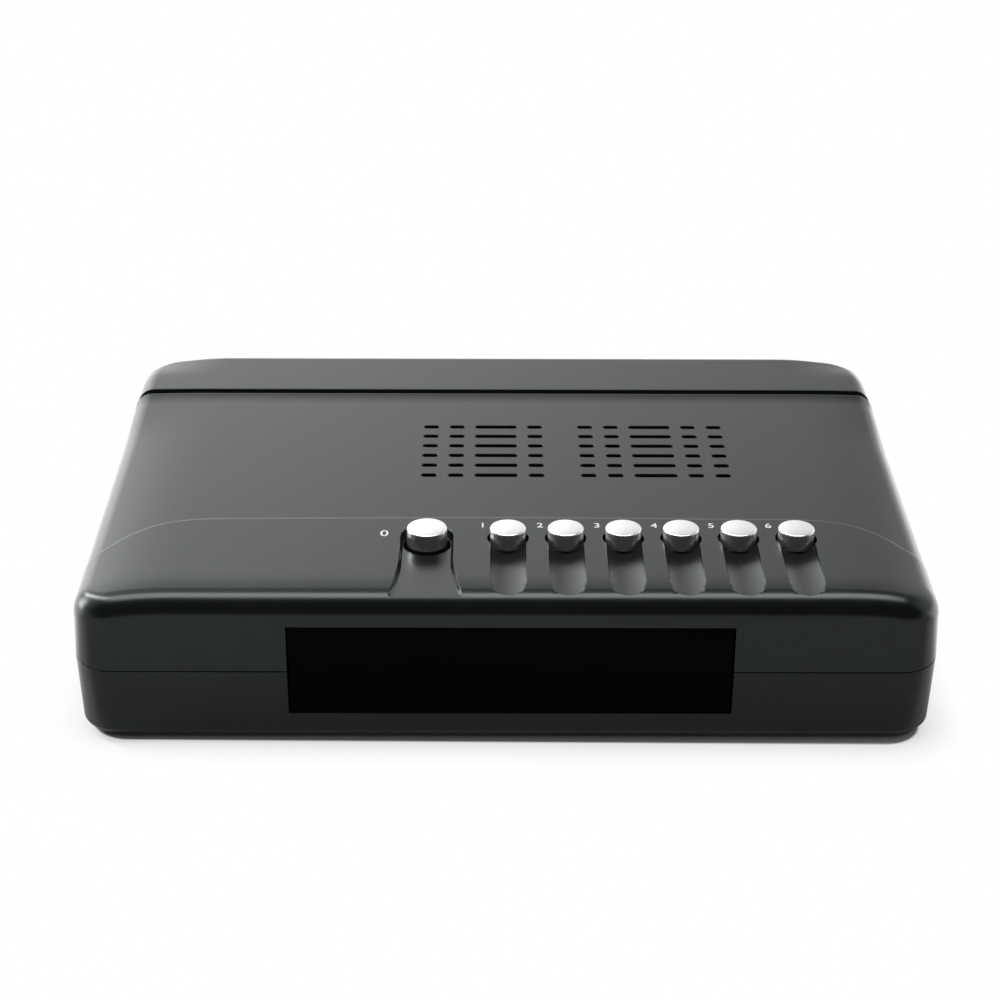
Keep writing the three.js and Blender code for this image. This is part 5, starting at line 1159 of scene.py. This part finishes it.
# Video and audio sockets: coloured plastic bodies on the main board, each with a nickel-plated barrel
# that reaches through the panel round a coloured core with its bore.
PHONO_FRONT, PHONO_BACK, PHONO_END, PHONO_SHELL = 57.2, 72.7, 83.4, 0.6
PHONO_BODY_WIDTH, PHONO_BODY_HEIGHT, PHONO_BORE, PHONO_BORE_DEPTH = 10.4, 12.5, 1.7, 8.0
COLLAR_START, COLLAR_RIM, COLLAR_EDGE = PHONO_BACK - 0.5, 0.2, 0.1
COLLAR_SIDE, COLLAR_FACE, BARREL_START = PANEL_FACE + 0.3, PANEL_FACE + 0.45, PANEL_FACE + 0.5
CORE_GAP, CORE_SINK, CORE_EDGE, BORE_EDGE = 0.05, 0.6, 0.15, 0.35
BARREL_WAIST, BARREL_LIP, BARREL_EDGE, BARREL_MOUTH_EDGE = 0.12, (1.3, 1.0), (0.22, 0.25), (0.12, 0.2)
PHONO_COLOURS = [("yellow", (0.72, 0.42, 0.012)), ("white", (0.72, 0.72, 0.70)),
                 ("red", (0.52, 0.012, 0.012))]


def block(low, high, edge=0.25):
    """A box with rounded edges."""
    work = bmesh.new()
    bmesh.ops.create_cube(work, size=1.0)
    low, high = np.array(low, float), np.array(high, float)
    for vertex in work.verts:
        vertex.co = Vector(low + (np.array(vertex.co) + 0.5) * (high - low))
    bmesh.ops.bevel(work, geom=work.edges[:], offset=edge, segments=2, affect="EDGES", profile=0.5)
    work.verts.index_update()
    points = np.array([list(vertex.co) for vertex in work.verts])
    faces = [[vertex.index for vertex in face.verts] for face in work.faces]
    work.free()
    return points, faces


rim, wide, end = PHONO_RADIUS - PHONO_SHELL, PHONO_RADIUS + COLLAR_RIM, PHONO_END - CORE_SINK
core, waist = rim - CORE_GAP, PHONO_RADIUS - BARREL_WAIST
core_profile = [
    (0, COLLAR_START), (wide, COLLAR_START), (wide, COLLAR_SIDE), (wide - COLLAR_EDGE, COLLAR_FACE),
    (core, COLLAR_FACE), (core, end - CORE_EDGE),
    (core - CORE_EDGE, end), (PHONO_BORE + BORE_EDGE, end), (PHONO_BORE, end - BORE_EDGE),
    (PHONO_BORE, PHONO_END - PHONO_BORE_DEPTH), (0, PHONO_END - PHONO_BORE_DEPTH)]
barrel_profile = [
    (rim, BARREL_START), (waist, BARREL_START), (waist, PHONO_END - BARREL_LIP[0]),
    (PHONO_RADIUS, PHONO_END - BARREL_LIP[1]), (PHONO_RADIUS, PHONO_END - BARREL_EDGE[1]),
    (PHONO_RADIUS - BARREL_EDGE[0], PHONO_END), (rim + BARREL_MOUTH_EDGE[0], PHONO_END),
    (rim, PHONO_END - BARREL_MOUTH_EDGE[1]), (rim, BARREL_START)]
for (name, x), (colour, shade) in zip(PHONOS, PHONO_COLOURS):
    centre = (x, 0.0, PHONO_AXIS)
    coloured = plastic(colour + "_plastic", shade, roughness=0.34, grain=0.0005, grain_depth=0.00001)
    body = block((x - PHONO_BODY_WIDTH / 2, PHONO_FRONT, ON_BOARD),
                 (x + PHONO_BODY_WIDTH / 2, PHONO_BACK, ON_BOARD + PHONO_BODY_HEIGHT))
    piece(name + "_body", together(body, turned(core_profile, 48, centre, True)), coloured,
          node=name)
    piece(name + "_barrel", turned(barrel_profile, 48, centre, True), nickel)


# Sheet-metal sockets: folded shells of plated steel on the main board, open to the rear. Each has a
# plastic tongue inside, which carries the contacts.
SHEET, SHEET_FRONT, SHEET_END, SHEET_DEPTH = 0.5, 57.2, 75.0, 8.0
SHEET_BACK_EDGE, SHEET_LIP, SHEET_LIP_INNER = 0.12, 0.1, 0.08
HDMI_SLANT, HDMI_TONGUE, HDMI_TONGUE_IN, HDMI_TONGUE_BACK = (2.0, 1.9), (2.35, 3.75), 1.7, 1.0
USB_TONGUE, USB_TONGUE_IN, USB_TONGUE_BACK = (3.9, 5.6), 1.1, 0.8
TONGUE_ROOT, TONGUE_EDGE = 0.3, 0.2
CONTACT_PITCH, CONTACT_START, CONTACT_FINISH = 0.001, (0.42, 0.5), (0.78, 0.86)


def narrowed(loop, gap):
    """A convex loop moved inwards by a gap."""
    before, after = loop - np.roll(loop, 1, 0), np.roll(loop, -1, 0) - loop
    normals = [np.column_stack([-side[:, 1], side[:, 0]]) / np.linalg.norm(side, axis=1, keepdims=True)
               for side in (before, after)]
    both = normals[0] + normals[1]
    return loop + both * (gap / (1 + (normals[0] * normals[1]).sum(1)))[:, None]


def hollow_socket(outline):
    """A closed shell along Y round an outline, with its mouth to the rear."""
    loops = [(SHEET_BACK_EDGE, SHEET_FRONT), (0, SHEET_FRONT + SHEET_BACK_EDGE), (0, SHEET_END - SHEET_LIP),
             (SHEET_LIP, SHEET_END), (SHEET - SHEET_LIP_INNER, SHEET_END), (SHEET, SHEET_END - SHEET_LIP),
             (SHEET, SHEET_END - SHEET_DEPTH)]
    return stacked([facing(narrowed(outline, gap), y)[::-1] for gap, y in loops])


contact_black = bpy.data.materials.new("contact_tongue")
finish = Finish(contact_black)
place = finish.node("TexCoord", output="Object")
x, _, _ = finish.parts(place)
across = (x / CONTACT_PITCH).maths("FRACT")
stripe = across.between(*CONTACT_START) * (1 - across.between(*CONTACT_FINISH))
cloud = finish.node("TexNoise", inputs={"Vector": place, "Scale": 900.0, "Detail": 3.0})
finish.node("OutputMaterial", inputs={"Surface": finish.node("BsdfPrincipled", inputs={
    "Base Color": finish.blend(stripe, (0.01, 0.01, 0.011, 1), (0.83, 0.58, 0.2, 1)),
    "Metallic": stripe, "Roughness": 0.42 - stripe * 0.12 + (cloud - 0.5) * 0.12})})


def tongue(left, right, heights, back):
    """The bar inside a socket that carries its contacts."""
    return block((left, SHEET_END - SHEET_DEPTH - TONGUE_ROOT, ON_BOARD + heights[0]),
                 (right, SHEET_END - back, ON_BOARD + heights[1]), TONGUE_EDGE)


left, right, top = HDMI_X - HDMI_WIDTH / 2, HDMI_X + HDMI_WIDTH / 2, ON_BOARD + HDMI_HEIGHT
slant_x, slant_z = HDMI_SLANT
hdmi_outline = softened([(left + slant_x, ON_BOARD), (right - slant_x, ON_BOARD), (right, ON_BOARD + slant_z),
                         (right, top), (left, top), (left, ON_BOARD + slant_z)])
piece("hdmi_shell", hollow_socket(hdmi_outline), nickel, node="hdmi_socket")
piece("hdmi_tongue", tongue(left + HDMI_TONGUE_IN, right - HDMI_TONGUE_IN, HDMI_TONGUE, HDMI_TONGUE_BACK),
      contact_black)
left, right, top = USB_X - USB_WIDTH / 2, USB_X + USB_WIDTH / 2, ON_BOARD + USB_HEIGHT
usb_outline = softened([(left, ON_BOARD), (right, ON_BOARD), (right, top), (left, top)])
piece("usb_shell", hollow_socket(usb_outline), nickel, node="usb_socket")
piece("usb_tongue", tongue(left + USB_TONGUE_IN, right - USB_TONGUE_IN, USB_TONGUE, USB_TONGUE_BACK),
      contact_black)


# Power inlet: a black plastic body with a round bore and a plated pin, for the plug of an outside
# supply. It stands on the main board.
INLET_BORE, INLET_AXIS, INLET_DEPTH, INLET_CORNER, INLET_STATION = 3.0, 17.3, 8.0, 0.4, 0.45
INLET_FACE_EDGE, INLET_FACE_SHRINK, INLET_MOUTH = 0.2, 0.03, 0.35
INLET_PIN, PIN_ROOT, PIN_TIP = 1.0, 0.2, [(1.0, 1.3), (0.7, 0.85), (0.3, 0.65), (0, 0.6)]
inlet_frame = rounded_frame((INLET_X - INLET_WIDTH / 2, ON_BOARD),
                            (INLET_X + INLET_WIDTH / 2, ON_BOARD + INLET_HEIGHT), INLET_CORNER, steps=3)
inlet_loop = []
for a, b in zip(inlet_frame, np.roll(inlet_frame, -1, 0)):
    parts = max(1, round(np.linalg.norm(b - a) / INLET_STATION))
    inlet_loop += [a + (b - a) * k / parts for k in range(parts)]
inlet_loop = np.array(inlet_loop)
ways = inlet_loop - (INLET_X, INLET_AXIS)
ways /= np.linalg.norm(ways, axis=1, keepdims=True)


def inlet_square(shrink, y):
    middle = np.array((INLET_X, ON_BOARD + INLET_HEIGHT / 2))
    return facing(inlet_loop + (middle - inlet_loop) * shrink, y)[::-1]


def inlet_round(radius, y):
    return facing(np.array((INLET_X, INLET_AXIS)) + ways * radius, y)[::-1]


inlet_body = stacked([
    inlet_square(0, SHEET_FRONT), inlet_square(0, SHEET_END - INLET_FACE_EDGE),
    inlet_square(INLET_FACE_SHRINK, SHEET_END), inlet_round(INLET_BORE + INLET_MOUTH, SHEET_END),
    inlet_round(INLET_BORE, SHEET_END - INLET_MOUTH), inlet_round(INLET_BORE, SHEET_END - INLET_DEPTH)])
piece("power_inlet_body", inlet_body, panel_black, node="power_inlet")
pin_root = SHEET_END - INLET_DEPTH - PIN_ROOT
pin = turned([(0, pin_root), (INLET_PIN, pin_root)] + [(INLET_PIN * share, SHEET_END - back)
                                                       for share, back in PIN_TIP],
             32, (INLET_X, 0, INLET_AXIS), True)
piece("power_inlet_pin", pin, nickel)


# Screws: zinc-plated steel with pan heads, cross recesses and threads. Four close the case from
# below, four hold the main board and two hold the key board.
CASE_SCREW = dict(length=18.0, radius=1.5, head_radius=2.9, head_height=2.0)
BOARD_SCREW = dict(length=6.4, radius=1.1, head_radius=2.5, head_height=1.7)
KEY_BOARD_SCREW = dict(BOARD_SCREW, length=8.4)
CASE_SCREW_TIP, BOARD_SCREW_TIP, KEY_BOARD_SCREW_TIP = 29.8, 4.4, 38.6
BOARD_SCREW_XS, BOARD_SCREW_YS = (-80.0, 80.0), (-41.0, 25.2)
SCREW_PITCH, SCREW_STEP, SCREW_NECK = 0.75, 0.12, 0.3
CROSS_ARM, CROSS_REACH, CROSS_DEPTH = 0.3, 0.61, 0.6


def pan_screw(centre, tip, upside_down, length, radius, head_radius, head_height):
    """A screw with its tip at a height and its head above that, or below it when upside down."""
    top, point = length + head_height, radius * 1.2
    profile = [(0, 0), (radius * 0.35, 0), (radius, point)]
    profile += [(radius, z) for z in np.arange(point + SCREW_STEP, length - SCREW_NECK, SCREW_STEP)]
    profile += [(radius, length), (head_radius, length), (head_radius, length + head_height * 0.45)]
    profile += [(head_radius * (0.96 - 0.06 * k), length + head_height * (0.45 + 0.55 * math.sin(k * 0.26)))
                for k in (1, 2, 3, 4)]
    profile += [(head_radius * share, top) for share in (0.66, 0.58, 0.5, 0.4, 0.3, 0.22, 0.15, 0.08, 0)]
    points, faces = threaded(turned(profile, 40), (0, 0, 0), radius, point, length - SCREW_NECK, SCREW_PITCH,
                             radius * 0.2, axis=2)
    away, arm = np.hypot(*points[:, :2].T), np.abs(points[:, :2]).min(1)
    on_top = points[:, 2] > length + head_height * 0.99
    points[on_top & (arm < CROSS_ARM) & (away < head_radius * CROSS_REACH), 2] -= head_height * CROSS_DEPTH
    if upside_down:
        points = points * (1, -1, -1)
    return points + (*centre, tip), faces


zinc = metal("zinc_plating", (0.42, 0.43, 0.44), (0.6, 0.61, 0.62), 0.32)
board_places = [(x, y) for x in BOARD_SCREW_XS for y in BOARD_SCREW_YS]
key_board_places = [(x, ROW_Y) for x in KEY_POST_XS]
for kind, places, tip, upside_down, sizes in (
        ("case", SCREW_PLACES, CASE_SCREW_TIP, True, CASE_SCREW),
        ("board", board_places, BOARD_SCREW_TIP, False, BOARD_SCREW),
        ("key_board", key_board_places, KEY_BOARD_SCREW_TIP, True, KEY_BOARD_SCREW)):
    for i, place in enumerate(places):
        piece("%s_fixing_%d" % (kind, i + 1), pan_screw(place, tip, upside_down, **sizes), zinc,
              node="%s_screw_%d" % (kind, i + 1), crisp=30)


# Printing: small white numbers beside the buttons, from nought at the power button up to six. The
# ink is pad-printed on the upper case.
PRINT_THICKNESS, PRINT_SPREAD = 0.03, 0.04
NOUGHT_X, NOUGHT_Y, NOUGHT_SIZE = POWER_X - 11.2, ROW_Y + 1.6, 4.6
NUMBER_LEFT, NUMBER_Y, NUMBER_SIZE = 6.6, ROW_Y + 6.3, 3.6
NUMBERS = [("0", NOUGHT_X, NOUGHT_Y, NOUGHT_SIZE)] + [
    (str(k + 1), x - NUMBER_LEFT, NUMBER_Y, NUMBER_SIZE) for k, x in enumerate(BUTTON_XS)]
print_white = plastic("print_white", colour=(0.78, 0.79, 0.79), roughness=0.5, grain=0.0002,
                      grain_depth=0.000004)
for number, x, y, size in NUMBERS:
    letters = bpy.data.curves.new("number_" + number, "FONT")
    letters.body, letters.size, letters.extrude = number, size * MM, PRINT_THICKNESS * MM / 2
    letters.align_x, letters.align_y = "CENTER", "CENTER"
    letters.offset = PRINT_SPREAD * MM
    letters.materials.append(print_white)
    printed = bpy.data.objects.new("number_" + number, letters)
    ground = float(upper_outer(np.array([(x, y)]))[0, 2])
    printed.location = (x * MM, (y + CASE_Y) * MM, (ground + PRINT_THICKNESS) * MM)
    bpy.context.scene.collection.objects.link(printed)
    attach(printed, "receiver_body")


# Inner pieces: the boards, their parts, the tuner can, the switches and the ribbon cables keep the
# solids that hold their size. Each slot has its own finish.
WIRE_PITCH = 0.00127
SLEEVE_STRIPE_X, SLEEVE_STRIPE_EDGE, SLEEVE_TOP = -0.0645, (0.0011, 0.0013), (0.0264, 0.0266)


def board_finish():
    """Green solder mask over copper tracks, with bare tinned pads."""
    made = bpy.data.materials.new("circuit_board")
    finish = Finish(made)
    place = finish.node("TexCoord", output="Object")
    cells = finish.node("TexVoronoi", {"feature": "DISTANCE_TO_EDGE", "distance": "MANHATTAN"},
                        {"Vector": place, "Scale": 300.0}, output="Distance")
    track = 1 - cells.between(0.03, 0.07)
    dots = finish.node("TexVoronoi", {"distance": "EUCLIDEAN"}, {"Vector": place, "Scale": 420.0},
                       output="Distance")
    pad = 1 - dots.between(0.16, 0.2)
    weave = finish.node("TexNoise", inputs={"Vector": place, "Scale": 1500.0, "Detail": 3.0})
    mask = finish.blend(track, (0.006, 0.06, 0.022, 1), (0.02, 0.13, 0.045, 1))
    finish.node("OutputMaterial", inputs={"Surface": finish.node("BsdfPrincipled", inputs={
        "Base Color": finish.blend(pad, mask, (0.6, 0.58, 0.54, 1)), "Metallic": pad * 0.9,
        "Roughness": 0.34 + (weave - 0.5) * 0.2 + track * 0.06,
        "Normal": finish.node("Bump", inputs={
            "Height": track + pad, "Strength": 0.5, "Distance": 0.00003})})})
    return made


def ribbon_finish():
    """Grey insulation, ribbed over each of its wires."""
    made = bpy.data.materials.new("grey_ribbon")
    finish = Finish(made)
    place = finish.node("TexCoord", output="Object")
    x, _, _ = finish.parts(place)
    rib = (x * (2 * math.pi / WIRE_PITCH)).maths("SINE")
    soil = finish.node("TexNoise", inputs={"Vector": place, "Scale": 500.0, "Detail": 4.0})
    finish.node("OutputMaterial", inputs={"Surface": finish.node("BsdfPrincipled", inputs={
        "Base Color": finish.blend(soil.between(0.3, 0.7), (0.27, 0.27, 0.27, 1), (0.36, 0.36, 0.35, 1)),
        "Roughness": 0.5 + rib * 0.06,
        "Normal": finish.node("Bump", inputs={"Height": rib, "Strength": 0.8, "Distance": 0.00015})})})
    return made


def sleeve_finish():
    """Printed blue sleeve of a capacitor, with its pale stripe, round a can of bare aluminium."""
    made = bpy.data.materials.new("blue_sleeve")
    finish = Finish(made)
    place = finish.node("TexCoord", output="Object")
    x, _, z = finish.parts(place)
    stripe = 1 - (x - SLEEVE_STRIPE_X).maths("ABSOLUTE").between(*SLEEVE_STRIPE_EDGE)
    can = z.between(*SLEEVE_TOP)
    soil = finish.node("TexNoise", inputs={"Vector": place, "Scale": 700.0, "Detail": 4.0})
    sleeve = finish.blend(stripe * 0.9, (0.01, 0.035, 0.16, 1), (0.5, 0.55, 0.62, 1))
    finish.node("OutputMaterial", inputs={"Surface": finish.node("BsdfPrincipled", inputs={
        "Base Color": finish.blend(can, sleeve, (0.75, 0.76, 0.77, 1)), "Metallic": can,
        "Roughness": 0.3 + (soil - 0.5) * 0.2})})
    return made


inner_finishes = {
    "circuit_board": board_finish(), "grey_ribbon": ribbon_finish(), "blue_sleeve": sleeve_finish(),
    "black_plastic": plastic("moulded_black", (0.013, 0.013, 0.014), 0.5, 0.0001, 0.00001),
    "tinned_steel": metal("tinned_steel", (0.5, 0.5, 0.49), (0.68, 0.68, 0.67), 0.3, (1.0, 0.06, 1.0)),
    "heatsink_metal": metal("heatsink_metal", (0.42, 0.43, 0.44), (0.56, 0.57, 0.58), 0.36, (0.05, 1.0, 1.0)),
    "zinc_steel": zinc, "nickel_plate": nickel, "black_case": case_black, "front_pane": tinted,
    "rear_plate": panel_black, "silver_cap": silver, "foot_rubber": rubber, "white_plastic": insulator_white}
for part in frame["record"]["subparts"]:
    node = frame["nodes"][part["node"]]
    node.data.materials.clear()
    node.data.materials.append(inner_finishes.get(part["material_slot"], case_black))
